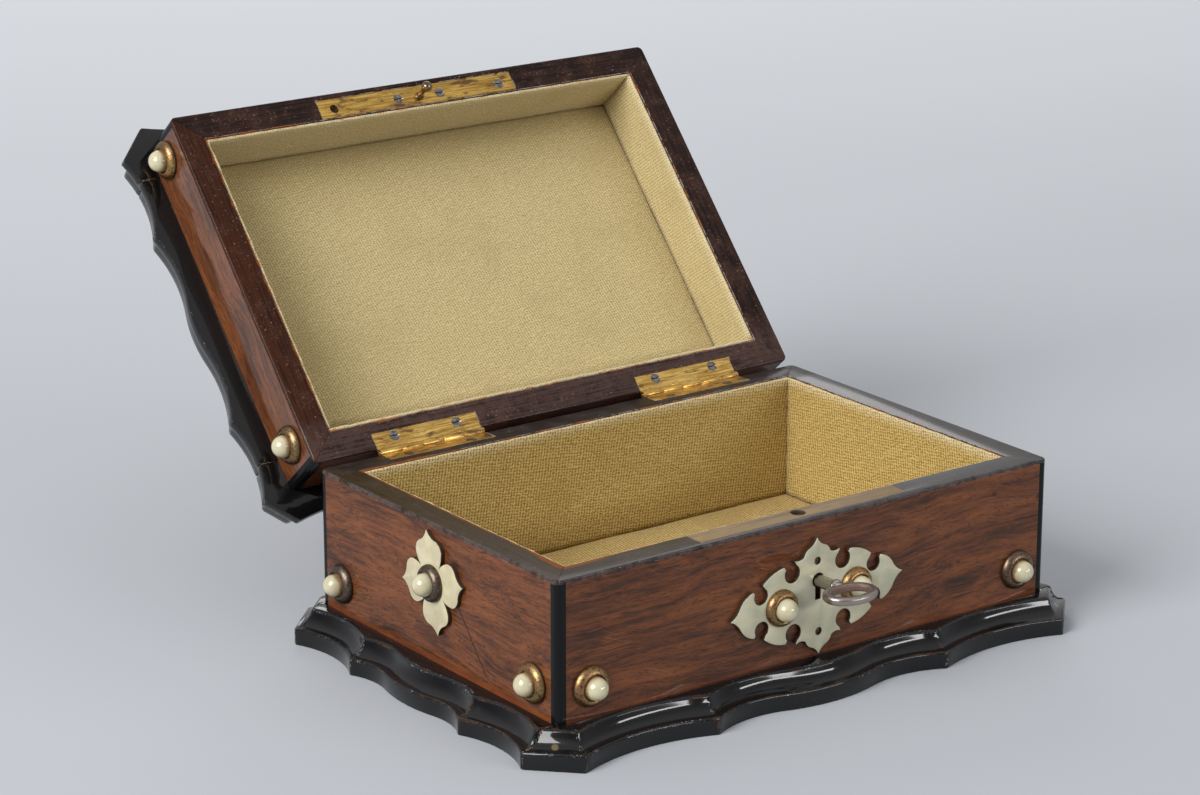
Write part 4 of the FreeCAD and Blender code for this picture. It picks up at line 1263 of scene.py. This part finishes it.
@dataclass
class EasedPiece:
    """A copy of a node with its arrises eased, as hand work has them, and marked for rubbing and painted highlight.

    Corners across the outline can be eased more, and proud is how far a bevel may stand out. A
    piece whose faces have holes is cut up into triangles, which bevel without folding.
    """

    node: str
    finish: Finish
    slot: str
    body: str
    ease: float = 0.25
    corner: float = 0.0
    steps: int = 2
    sharp: float = 32.0
    proud: float = 0.08
    merge: float = 0.002
    flat: float = 0.4
    cut_up: bool = False

    def weigh(self, mesh: bpy.types.Mesh) -> None:
        """Gives each sharp edge its share of the bevel.

        Args:
            mesh: the merged copy.
        """
        shut = SIZES.opening().inverted() if self.body == Half.LID.value else Matrix()
        normals: dict[tuple[int, int], list[Vector]] = {}
        for face in mesh.polygons:
            for key in face.edge_keys:
                normals.setdefault(key, []).append(face.normal.copy())
        widest = max(self.ease, self.corner)
        weights = mesh.attributes.new("bevel_weight_edge", "FLOAT", "EDGE")
        for edge in mesh.edges:
            faces = normals.get(edge.key, [])
            if len(faces) != 2 or faces[0].angle(faces[1], 0.0) < math.radians(self.sharp):
                continue
            ends = [shut @ mesh.vertices[i].co for i in edge.vertices]
            upright = abs(ends[0].z - ends[1].z) > 0.05 * MM
            width = self.corner if upright and self.corner else self.ease
            weights.data[edge.index].value = width / widest

    def trim(self, mesh: bpy.types.Mesh, whole: bpy.types.Mesh) -> None:
        """Draws back any point of the bevel that stands well past the node's own faces.

        Args:
            mesh: the eased copy.
            whole: the node's mesh.
        """
        faces = BVHTree.FromPolygons([v.co for v in whole.vertices],
                                     [tuple(face.vertices) for face in whole.polygons])
        for vertex in mesh.vertices:
            near, normal, _, distance = faces.find_nearest(vertex.co)
            if distance > self.proud * MM and (vertex.co - near).dot(normal) > 0:
                vertex.co = near

    def copied(self, source: bpy.types.Object) -> bpy.types.Object:
        """Copies the node and joins its loose triangles into whole faces.

        Args:
            source: the node.

        Returns:
            The copy.
        """
        piece = bpy.data.objects.new("eased_" + self.node, source.data.copy())
        bpy.context.scene.collection.objects.link(piece)
        select_only(piece)
        bpy.ops.object.mode_set(mode="EDIT")
        bpy.ops.mesh.select_all(action="SELECT")
        bpy.ops.mesh.remove_doubles(threshold=self.merge * MM)
        bpy.ops.mesh.dissolve_limited(angle_limit=math.radians(self.flat))
        if self.cut_up:
            bpy.ops.mesh.select_all(action="SELECT")
            bpy.ops.mesh.quads_convert_to_tris(quad_method="BEAUTY", ngon_method="BEAUTY")
        bpy.ops.object.mode_set(mode="OBJECT")
        bpy.ops.mesh.customdata_custom_splitnormals_clear()
        return piece

    def build(self) -> bpy.types.Object:
        """Copies, eases, marks and dresses the node.

        Returns:
            The piece that stands for it.
        """
        source = frame["nodes"][self.node]
        piece = self.copied(source)
        mesh = piece.data
        self.weigh(mesh)
        mesh.materials.clear()
        for _ in ("faces", "bevel"):
            mesh.materials.append(self.finish.material())
        apply_modifier(piece, "BEVEL", width=max(self.ease, self.corner) * MM, segments=self.steps,
                       limit_method="WEIGHT", use_clamp_overlap=False, material=1)
        self.trim(mesh, source.data)
        arris = mesh.attributes.new("arris", "FLOAT", "FACE")
        for face in mesh.polygons:
            arris.data[face.index].value = face.material_index
            face.material_index = 0
        soften(piece)
        stand(piece, self.finish, self.slot, self.body)
        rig.replaces(piece, self.node)
        return piece


class Row(NamedTuple):
    """One row of a lining's sheet: its run of cloth, its place, and how near the rim it is."""

    run: float
    out: float
    rise: float
    near: float


@dataclass
class LiningPanel:
    """One panel of the lining: cloth over card, turned over the card's edge at the rim.

    It runs along one way and rises another from its start, and faces out. Nearness to the rim
    grows from 0 to bend, where the cloth starts to turn, and past 1 on the card's back.
    """

    name: str
    node: str
    half: Half
    start: Point
    along: Way
    rise: Way
    out: Way
    length: float
    height: float
    rests_on: str
    seed: float
    turned_over: bool = True
    # painted shade: how strongly the cloth darkens near the panel's first edges, 0 for none
    wall_shade_strength: float = 0.0
    card: float = 1.5
    cloth: float = 0.35
    step: float = 2.2
    turns: int = 8
    tuck: float = 1.2
    bend: float = 0.7
    fade: float = 7.0
    swell: float = 0.22
    ripple: float = 0.07

    def rows(self) -> list[Row]:
        """Lays out the sheet's rows from its deep edge, round the card's edge and down behind it.

        Returns:
            The rows.
        """
        radius = self.card / 2
        straight = self.height - radius if self.turned_over else self.height
        count = round(straight / self.step)
        climb = [straight * i / count for i in range(count + 1)]
        if not self.turned_over:
            return [Row(up, self.card, up, 0.0) for up in climb]
        rows = [Row(up, self.card, up, max(0.0, self.bend - (straight - up) / self.fade))
                for up in climb]
        for i in range(1, self.turns + 1):
            angle = math.pi * i / self.turns
            rows.append(Row(straight + radius * angle, radius + radius * math.cos(angle),
                            straight + radius * math.sin(angle), self.bend + 0.5 * i / self.turns))
        rows.append(Row(rows[-1].run + self.tuck, 0.02, straight - self.tuck, 1.2))
        return rows

    def place(self, u: float, row: Row) -> Vector:
        """Where a point of the sheet lies, with the cloth's own unevenness.

        Args:
            u: how far along the panel.
            row: its row.

        Returns:
            The point in metres.
        """
        run, out, rise, near = row
        soft = noise.noise(Vector((u / 26 + self.seed, run / 17, self.seed)))
        pull = noise.noise(Vector((u / 4.5, run / 9, self.seed + 5)))
        below = min(1.0, max(0.0, (self.height - rise) / 3)) if self.turned_over else 1.0
        out += self.swell * soft * below + self.ripple * pull
        if not self.turned_over:
            margin = min(u, self.length - u, rise, self.height - rise)
            out -= 0.6 * max(0.0, 1 - margin / 1.5) ** 2
        if near > self.bend - 0.01:
            rag = noise.noise(Vector((u / 1.7, 0, self.seed + 9)))
            rise += 0.28 * pull + 0.14 * rag - 0.1
            out += 0.22 * pull * (out > self.card / 2)
        out += self.crease(u, rise)
        point = Vector(self.start) + self.along.vector * u + self.rise.vector * rise
        return (point + self.out.vector * out) * MM

    def crease(self, u: float, rise: float) -> float:
        """How much a fold lifts the cloth at a point; a plain panel has none."""
        return 0.0

    def sheet(self, rows: list[Row]) -> bpy.types.Object:
        """Makes the sheet as a grid bent to its rows, with its marks and its map.

        Args:
            rows: the rows.

        Returns:
            The sheet, with no thickness yet.
        """
        columns, last = round(self.length / self.step), len(rows) - 1
        select_only()
        bpy.ops.mesh.primitive_grid_add(x_subdivisions=columns, y_subdivisions=last, size=2)
        piece = bpy.context.object
        piece.name = self.name
        mesh = piece.data
        edge = mesh.attributes.new("edge", "FLOAT", "POINT")
        # painted shade of the walls, strongest along the panel's start and its first row, fading over some 15 mm
        nook = mesh.attributes.new("nook", "FLOAT", "POINT")
        places = []
        for vertex in mesh.vertices:
            u = self.length * round((vertex.co.x + 1) / 2 * columns) / columns
            row = rows[round((vertex.co.y + 1) / 2 * last)]
            places.append((u, row.run))
            edge.data[vertex.index].value = row.near
            nook.data[vertex.index].value = self.wall_shade_strength * math.exp(-min(u / 17, row.rise / 13))
            vertex.co = self.place(u, row)
        uv = mesh.uv_layers[0]
        uv.name = "Cloth"
        for loop in mesh.loops:
            u, run = places[loop.vertex_index]
            uv.data[loop.index].uv = ((u + self.seed * 40) * MM, run * MM)
        mesh.update()
        return piece

    def face_out(self, piece: bpy.types.Object) -> None:
        """Turns the sheet's faces over where they point at the card.

        Args:
            piece: the sheet.
        """
        facing = sum((face.normal * face.area for face in piece.data.polygons), Vector())
        if facing.dot(self.out.vector) < 0:
            select_only(piece)
            bpy.ops.object.mode_set(mode="EDIT")
            bpy.ops.mesh.select_all(action="SELECT")
            bpy.ops.mesh.flip_normals()
            bpy.ops.object.mode_set(mode="OBJECT")

    def build(self, finish: Finish) -> bpy.types.Object:
        """Args:
            finish: the cloth.

        Returns:
            The piece.
        """
        rows = self.rows()
        piece = self.sheet(rows)
        self.face_out(piece)
        if self.half is Half.LID:
            piece.data.transform(SIZES.opening())
        apply_modifier(piece, "SOLIDIFY", thickness=self.cloth * MM, offset=-1.0)
        select_only(piece)
        bpy.ops.object.shade_smooth()
        stand(piece, finish, "lining", self.half.value)
        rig.replaces(piece, self.node)
        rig.sheet(piece, flat=(self.length * MM, rows[-1].run * MM), held="stretched",
                 rests_on=[self.rests_on])
        return piece


@dataclass
class CreasedPanel(LiningPanel):
    """A panel whose cloth has slipped into one small fold, between two places on it."""

    crease_from: tuple[float, float] = (28.0, 0.0)
    crease_to: tuple[float, float] = (54.0, 12.0)
    crease_out: float = 0.9
    crease_half: float = 1.3

    def crease(self, u: float, rise: float) -> float:
        """How much the fold lifts the cloth at a point.

        Args:
            u: how far along the panel.
            rise: how far up it.

        Returns:
            The lift.
        """
        start, end = Vector(self.crease_from), Vector(self.crease_to)
        run = end - start
        along = (Vector((u, rise)) - start).dot(run) / run.length_squared
        if not 0 < along < 1:
            return 0.0
        aside = (Vector((u, rise)) - start - run * along).length
        across = math.exp(-(aside / self.crease_half) ** 2)
        return self.crease_out * across * math.sin(math.pi * along)


@dataclass
class Linings:
    """All the lining of body and lid: heights on the shut box, and the two cloths, the body's darker than the lid's
    partly as painted shade.
    """

    card: float = 1.5
    floor: float = 16.0
    top: float = 69.7
    lid_foot: float = 70.6
    lid_ceiling: float = 97.3
    # The body's cloth is deeper and browner than the lid's: partly an older cloth, partly painted shade of the deep
    # body; the lid's is the lit copy.
    body_cloth: LiningCloth = LiningCloth(
        "lining_cloth_body", pale=(0.570, 0.415, 0.145), deep=(0.240, 0.145, 0.026))
    lid_cloth: LiningCloth = LiningCloth(
        "lining_cloth_lid", pale=(0.585, 0.480, 0.250), deep=(0.335, 0.250, 0.102),
        thread=0.92, bold=0.34, depth=0.24)

    def flat(self, half: Half) -> LiningPanel:
        """The floor of the body or the ceiling of the lid.

        Args:
            half: body or lid.

        Returns:
            The panel.
        """
        x, y = SIZES.inner_x, SIZES.inner_y
        if half is Half.BODY:
            return LiningPanel("cloth_floor", "lining_floor", half, (-x, -y, self.floor), Way.RIGHT,
                               Way.BACK, Way.UP, 2 * x, 2 * y, "base_board", 1.0, turned_over=False)
        # the lid's ceiling takes painted shade along its left and front edges
        return LiningPanel("lid_cloth_top", "lid_lining_top", half, (-x, -y, self.lid_ceiling),
                           Way.RIGHT, Way.BACK, Way.DOWN, 2 * x, 2 * y, "lid_top_board", 6.0,
                           turned_over=False, wall_shade_strength=1.0)

    def walls(self, half: Half) -> list[LiningPanel]:
        """The four panels round the body's floor or the lid's ceiling.

        Args:
            half: body or lid.

        Returns:
            The panels.
        """
        x, y, side = SIZES.inner_x, SIZES.inner_y, SIZES.inner_y - self.card
        if half is Half.BODY:
            of, rise, first = "", Way.UP, LiningPanel
            deep, seed = self.floor + self.card, 2.0
            height = self.top - deep
        else:
            of, rise, first = "lid_", Way.DOWN, CreasedPanel
            deep, seed = self.lid_ceiling - self.card, 7.0
            height = deep - self.lid_foot
        rows = ((first, "front", "front", (-x, -y, deep), Way.RIGHT, Way.BACK, 2 * x),
                (LiningPanel, "back", "back", (-x, y, deep), Way.RIGHT, Way.FRONT, 2 * x),
                (LiningPanel, "left", "sides", (-x, -side, deep), Way.BACK, Way.RIGHT, 2 * side),
                (LiningPanel, "right", "sides", (x, -side, deep), Way.BACK, Way.LEFT, 2 * side))
        return [kind(f"{of}cloth_{name}", f"{of}lining_{wall}", half, start, along, rise, out,
                     length, height, f"{of}wall_{wall}", seed + i)
                for i, (kind, name, wall, start, along, out, length) in enumerate(rows)]

    def build(self) -> None:
        """Makes every panel."""
        for half, cloth in ((Half.BODY, self.body_cloth), (Half.LID, self.lid_cloth)):
            for panel in (self.flat(half), *self.walls(half)):
                panel.build(cloth)


@dataclass(frozen=True)
class StudPlaces:
    """Where the studs stand on the shut box, each with the way it faces."""

    low_up: float = 26.4
    corner_x: float = 105.0
    plate: float = 2.0
    plate_x: float = 1.0
    plate_up: float = 38.5
    plate_apart: float = 18.3
    plate_tilt: float = 2.0
    side_y: float = 65.0
    quatrefoil_y: float = -1.5
    quatrefoil_up: float = 46.8
    lid_near: tuple[float, float] = (-68.5, 84.9)
    lid_far: tuple[float, float] = (65.7, 82.1)

    def body(self) -> list[tuple[Point, Way]]:
        """The studs of the body.

        Returns:
            Two at the front's corners, two on the escutcheon and three on each side.
        """
        front, tilt = -SIZES.half_y, math.radians(self.plate_tilt)
        apart = self.plate_apart * math.cos(tilt), self.plate_apart * math.sin(tilt)
        studs = [((sign * self.corner_x, front, self.low_up), Way.FRONT) for sign in (-1, 1)]
        studs += [((self.plate_x + sign * apart[0], front - self.plate,
                    self.plate_up + sign * apart[1]), Way.FRONT) for sign in (-1, 1)]
        for sign, way in ((-1, Way.LEFT), (1, Way.RIGHT)):
            side = sign * SIZES.half_x
            studs += [((side, y, self.low_up), way) for y in (-self.side_y, self.side_y)]
            studs.append(((side + sign * self.plate, self.quatrefoil_y, self.quatrefoil_up), way))
        return studs

    def lid(self) -> list[tuple[Point, Way]]:
        """The studs of the lid.

        Returns:
            Two on each side.
        """
        return [((sign * SIZES.half_x, *place), way)
                for sign, way in ((-1, Way.LEFT), (1, Way.RIGHT))
                for place in (self.lid_near, self.lid_far)]


@dataclass
class StudGlue:
    """The rings of glue between beads and collars, of body or lid."""

    name: str
    half: Half
    studs: list[tuple[Point, Way]]
    radius: float = 4.62
    bulge: float = 0.42
    height: float = 2.3
    flat: float = 0.8
    uneven: float = 0.35

    def ring(self) -> bpy.types.Object:
        """Makes one ring, which faces up.

        Returns:
            The ring.
        """
        select_only()
        bpy.ops.mesh.primitive_torus_add(major_segments=32, minor_segments=8,
                                         major_radius=self.radius * MM,
                                         minor_radius=self.bulge * MM)
        made = bpy.context.object
        for vertex in made.data.vertices:
            lump = noise.noise(vertex.co * 400)
            vertex.co.z = vertex.co.z * self.flat + (self.height + self.uneven * lump) * MM
        return made

    def build(self) -> bpy.types.Object:
        """Puts a ring at every stud and joins them.

        Returns:
            The piece.
        """
        rings = [self.ring()]
        for _ in self.studs[1:]:
            copy = bpy.data.objects.new(self.name, rings[0].data.copy())
            bpy.context.scene.collection.objects.link(copy)
            rings.append(copy)
        for ring, (place, way) in zip(rings, self.studs):
            turn = Way.UP.vector.rotation_difference(way.vector).to_matrix().to_4x4()
            ring.data.transform(Matrix.Translation(Vector(place) * MM) @ turn)
        select_only(*rings)
        bpy.ops.object.join()
        piece = rings[0]
        piece.name = self.name
        if self.half is Half.LID:
            piece.data.transform(SIZES.opening())
        bpy.ops.object.shade_smooth()
        stand(piece, Glue("stud_glue"), "bone", self.half.value)
        return piece


@dataclass
class Casework:
    """Boards, veneers, strips, mouldings and rims, and how far their edges are eased."""

    moulding_ease: float = 0.32
    moulding_corner: float = 0.9
    rim_ease: float = 0.2
    lid_rim_ease: float = 0.25
    strip_ease: float = 0.12

    def build(self) -> None:
        """Dresses and eases all of them."""
        self.boards()
        self.veneers()
        self.mouldings()
        self.rims()

    def boards(self) -> None:
        """Dresses walls and boards, and the card under the linings."""
        walls = [kind + side for kind in ("wall_", "lining_")
                 for side in ("front", "back", "sides")]
        dress_nodes(CarcassWood("carcass_body", Half.BODY), "base_board", "lining_floor", *walls)
        dress_nodes(CarcassWood("carcass_lid", Half.LID), "lid_top_board", "lid_lining_top",
                    *("lid_" + wall for wall in walls))

    def veneers(self) -> None:
        """Dresses the veneers, and the corner strips between them."""
        dress_nodes(Rosewood("rosewood_front", Half.BODY, Grain.LENGTHWAYS, 0.0, gloss=0.42,
                             knots=((116.6, 55.0, 2.0), (92.0, 60.5, 1.3), (74.0, 36.0, 1.0))),
                    "veneer_front", "veneer_back")
        dress_nodes(Rosewood("rosewood_sides", Half.BODY, Grain.DEPTHWAYS, 11.0,
                             crack=(-16.0, 41.5, -34.5, 19.0)), "veneer_sides")
        dress_nodes(Rosewood("rosewood_lid_front", Half.LID, Grain.LENGTHWAYS, 23.0),
                    "lid_veneer_front", "lid_veneer_back", "lid_top_veneer")
        dress_nodes(Rosewood("rosewood_lid_sides", Half.LID, Grain.DEPTHWAYS, 31.0, gloss=0.9),
                    "lid_veneer_sides")
        dress_nodes(Ebonised("ebonised_strip", Half.BODY, 0.0, gloss=0.25), "corner_strips")
        dress_nodes(Ebonised("ebonised_lid_strip", Half.LID, SIZES.lid_moulding_foot, gloss=0.25),
                    "lid_corner_strips")

    def mouldings(self) -> None:
        """Eases the mouldings, corners across their outline more."""
        black = Ebonised("ebonised_body", Half.BODY, 0.0)
        lid_black = Ebonised("ebonised_lid", Half.LID, SIZES.lid_moulding_foot, joint=66.0)
        for part in ("front", "back", "sides"):
            for name, finish in (("base_moulding_", black), ("lid_moulding_", lid_black)):
                EasedPiece(name + part, finish, "ebonised", finish.half.value, self.moulding_ease,
                           self.moulding_corner).build()

    def rims(self) -> None:
        """Eases the rims, and the strip over the lock."""
        rim = RimWood("body_rim", Half.BODY, dark=(0.012, 0.008, 0.006),
                      light=(0.032, 0.022, 0.018), bloom=(0.070, 0.060, 0.056),
                      left=(0.036, 0.019, 0.006), lip=(0.120, 0.100, 0.100), rough=0.36,
                      gloss=0.52, glue_band=1.1, depth=0.17)
        lid_rim = RimWood("lid_rim", Half.LID, dark=(0.007, 0.003, 0.002),
                          light=(0.032, 0.012, 0.007), bloom=(0.085, 0.045, 0.033),
                          left=(0.050, 0.013, 0.004), lip=(0.040, 0.020, 0.014), rough=0.32,
                          gloss=0.14, glue_band=0.5, depth=0.30)
        box, lid = Half.BODY.value, Half.LID.value
        EasedPiece("rim_lipping", rim, "rim_wood", box, self.rim_ease, cut_up=True).build()
        EasedPiece("lid_rim_lipping", lid_rim, "rim_wood", lid, self.lid_rim_ease,
                   cut_up=True).build()
        EasedPiece("lock_strip", LockStripWood("lock_strip_wood"), "strip_wood", box,
                   self.strip_ease).build()


@dataclass
class Ornaments:
    """Escutcheon, quatrefoils and studs, and how far their edges are eased."""

    plate_ease: float = 0.22
    collar_ease: float = 0.15

    def build(self) -> None:
        """Eases plates and collars, dresses beads and sets them in glue."""
        bone = Bone("bone_plate")
        warm_bone = Bone("bone_quatrefoil", cream=(0.575, 0.510, 0.325), grey=(0.470, 0.415, 0.265))
        EasedPiece("escutcheon", bone, "bone", Half.BODY.value, self.plate_ease).build()
        EasedPiece("quatrefoils", warm_bone, "bone", Half.BODY.value, self.plate_ease).build()
        places = StudPlaces()
        for half, of, name, studs in ((Half.BODY, "", "body", places.body()),
                                      (Half.LID, "lid_", "lid", places.lid())):
            EasedPiece(of + "stud_collars", StudBrass("stud_brass_" + name, half), "collar_brass",
                       half.value, self.collar_ease).build()
            dress_nodes(BeadBone("bead_bone_" + name, half), of + "stud_beads")
            StudGlue("stud_glue_" + name, half, studs).build()


@dataclass
class Metalwork:
    """Hinges, strike, lock, screws, pins and key, and how far their edges are eased."""

    leaf_ease: float = 0.12
    strike_ease: float = 0.15
    pin_ease: float = 0.1
    key_ease: float = 0.2

    def build(self) -> None:
        """Dresses and eases all of them."""
        self.small_parts()
        self.hinges()
        self.lock()

    def small_parts(self) -> None:
        """Dresses screws and pins."""
        dress_nodes(Steel("screw_steel_body", Half.BODY, rusted=0.2, face=SIZES.rim),
                    "hinge_body_screws")
        dress_nodes(Steel("screw_steel_lid", Half.LID, rusted=0.2, face=SIZES.lid_rim),
                    "hinge_lid_screws", "strike_screws")
        dress_nodes(Steel("escutcheon_pin_steel", Half.BODY, bright=(0.20, 0.15, 0.10),
                          dull=(0.07, 0.048, 0.032), rust=(0.060, 0.028, 0.014), rusted=0.5),
                    "escutcheon_pins")

    def hinges(self) -> None:
        """Eases the leaves of both hinges."""
        gold = {"bright": (0.98, 0.66, 0.20), "dull": (0.46, 0.24, 0.052),
                "stain": (0.09, 0.036, 0.012)}
        leaf = Brass("hinge_brass_body", Half.BODY, **gold, stained=0.8)
        lid_leaf = Brass("hinge_brass_lid", Half.LID, **gold, stained=0.7)
        for side in ("left", "right"):
            for name, finish in (("hinge_body_leaf_", leaf), ("hinge_lid_leaf_", lid_leaf)):
                EasedPiece(name + side, finish, "hinge_brass", finish.half.value,
                           self.leaf_ease).build()

    def lock(self) -> None:
        """Dresses the lock's works, and eases strike plate, strike pin and key."""
        dress_nodes(Brass("lock_brass", Half.BODY, bright=(0.55, 0.36, 0.13),
                          dull=(0.32, 0.20, 0.08), stain=(0.07, 0.04, 0.02), stained=0.6),
                    "lock_case", "lock_back_plate", "hinge_pins")
        dress_nodes(Steel("steel_body", Half.BODY), "lock_spring", "lock_bolt", "lock_drill_pin",
                    "lock_screws")
        strike = Brass("strike_brass", Half.LID, bright=(0.86, 0.55, 0.14),
                       dull=(0.43, 0.23, 0.05), stain=(0.09, 0.04, 0.015), stained=0.85)
        pin = Steel("strike_pin_steel", Half.LID, bright=(0.34, 0.24, 0.14),
                    dull=(0.12, 0.08, 0.05), rust=(0.12, 0.05, 0.02), rusted=0.5)
        lid = Half.LID.value
        EasedPiece("strike_plate", strike, "hinge_brass", lid, self.strike_ease).build()
        EasedPiece("strike_pin", pin, "screw_steel", lid, self.pin_ease).build()
        EasedPiece("key", KeyNickel("key_nickel"), "key_steel", "key", self.key_ease).build()


@dataclass
class Studio:
    """Floor, lamps, world and camera; away is the way from the camera in the flat."""

    floor_radius: float = 7.0
    away: tuple[float, float] = (0.58, 0.81)
    floor_near_shaded: Colour = (0.41, 0.427, 0.453)
    floor_far_lit: Colour = (0.80, 0.82, 0.85)
    room: Colour = (0.10, 0.10, 0.11)
    paper: Colour = (0.62, 0.63, 0.65)
    ceiling: Colour = (0.80, 0.81, 0.83)
    camera_at: Point = (-0.8337, -1.0757, 0.5224)
    camera_tilt: float = 72.649
    camera_pan: float = -36.358
    lens: float = 108.74

    def floor(self) -> None:
        """Makes a wide pale disc, its colour painted darker near and lighter far off, as light falls on paper swept up
        into a cove.
        """
        select_only()
        bpy.ops.mesh.primitive_circle_add(vertices=96, radius=self.floor_radius, fill_type="NGON")
        disc = bpy.context.object
        disc.name = "floor"
        bench = Bench(bpy.data.materials.new("floor_paper"))
        at = bench.spot(Half.BODY)
        away = at.x * self.away[0] + at.y * self.away[1]
        mottle = bench.cloud(at, 900, 2.0)
        # painted light: the floor's colour grades from shade near the box to light far off
        back = (away + (mottle - 0.5) * 300).rise(-300, 2200)
        colour = bench.mix(back, self.floor_near_shaded, self.floor_far_lit)
        disc.data.materials.append(bench.surface(Base_Color=colour, Roughness=0.75,
                                                 Specular_IOR_Level=0.2))
        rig.stage(disc)

    def world(self) -> None:
        """Makes pale paper behind, a dim room in front and a pale ceiling."""
        world = bpy.data.worlds.new("studio")
        bpy.context.scene.world = world
        bench = Bench(world)
        x, y, z = bench.parts(bench.node("TexCoord", output="Generated"))
        back = (x * self.away[0] + y * self.away[1]).rise(-0.5, 0.7)
        around = bench.mix(back, self.room, self.paper)
        light = bench.mix(z.rise(0.25, 0.85), around, self.ceiling)
        glow = bench.node("Background", {}, {"Color": light, "Strength": 0.8})
        bench.node("OutputWorld", {}, {"Surface": glow})

    def lamp(self, name: str, at: Point, size: tuple[float, float], watts: float,
             aim: Point = (0, 0.02, 0.08)) -> None:
        """Hangs a soft box.

        Args:
            name: its name.
            at: where it hangs, in metres.
            size: its width and height, in metres.
            watts: its power.
            aim: the point it faces.
        """
        select_only()
        bpy.ops.object.light_add(type="AREA", location=at)
        lamp = bpy.context.object
        lamp.name = name
        lamp.data.shape = "RECTANGLE"
        lamp.data.size, lamp.data.size_y = size
        lamp.data.energy = watts
        lamp.rotation_euler = (Vector(aim) - Vector(at)).to_track_quat("-Z", "Y").to_euler()

    def camera(self) -> None:
        """Sets up the photograph's view."""
        select_only()
        tilt = (math.radians(self.camera_tilt), 0, math.radians(self.camera_pan))
        bpy.ops.object.camera_add(location=self.camera_at, rotation=tilt)
        camera = bpy.context.object
        camera.data.lens = self.lens
        camera.data.sensor_width = 36.0
        camera.data.clip_start = 0.01
        bpy.context.scene.camera = camera

    def build(self) -> None:
        """Sets up all of it."""
        self.floor()
        self.world()
        self.lamp("left_box", (-2.25, -0.35, 1.55), (1.5, 1.5), 86)
        self.lamp("front_box", (1.1, -2.5, 0.85), (1.9, 0.24), 24)
        self.lamp("back_box", (1.3, 2.3, 1.4), (1.2, 0.8), 9)
        self.camera()
        bpy.context.scene.view_settings.view_transform = "Standard"


def main() -> None:
    """Builds everything in order and notes the sizes."""
    logging.basicConfig(level=logging.INFO, format="%(message)s")
    Studio().build()
    Casework().build()
    Ornaments().build()
    Metalwork().build()
    Linings().build()

    with open("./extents.json", "w") as out:
        json.dump({"cad": [list(c) for c in CAD_BOX], "visual": [list(c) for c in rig.bounds()]}, out)


if __name__ == "__main__":
    main()
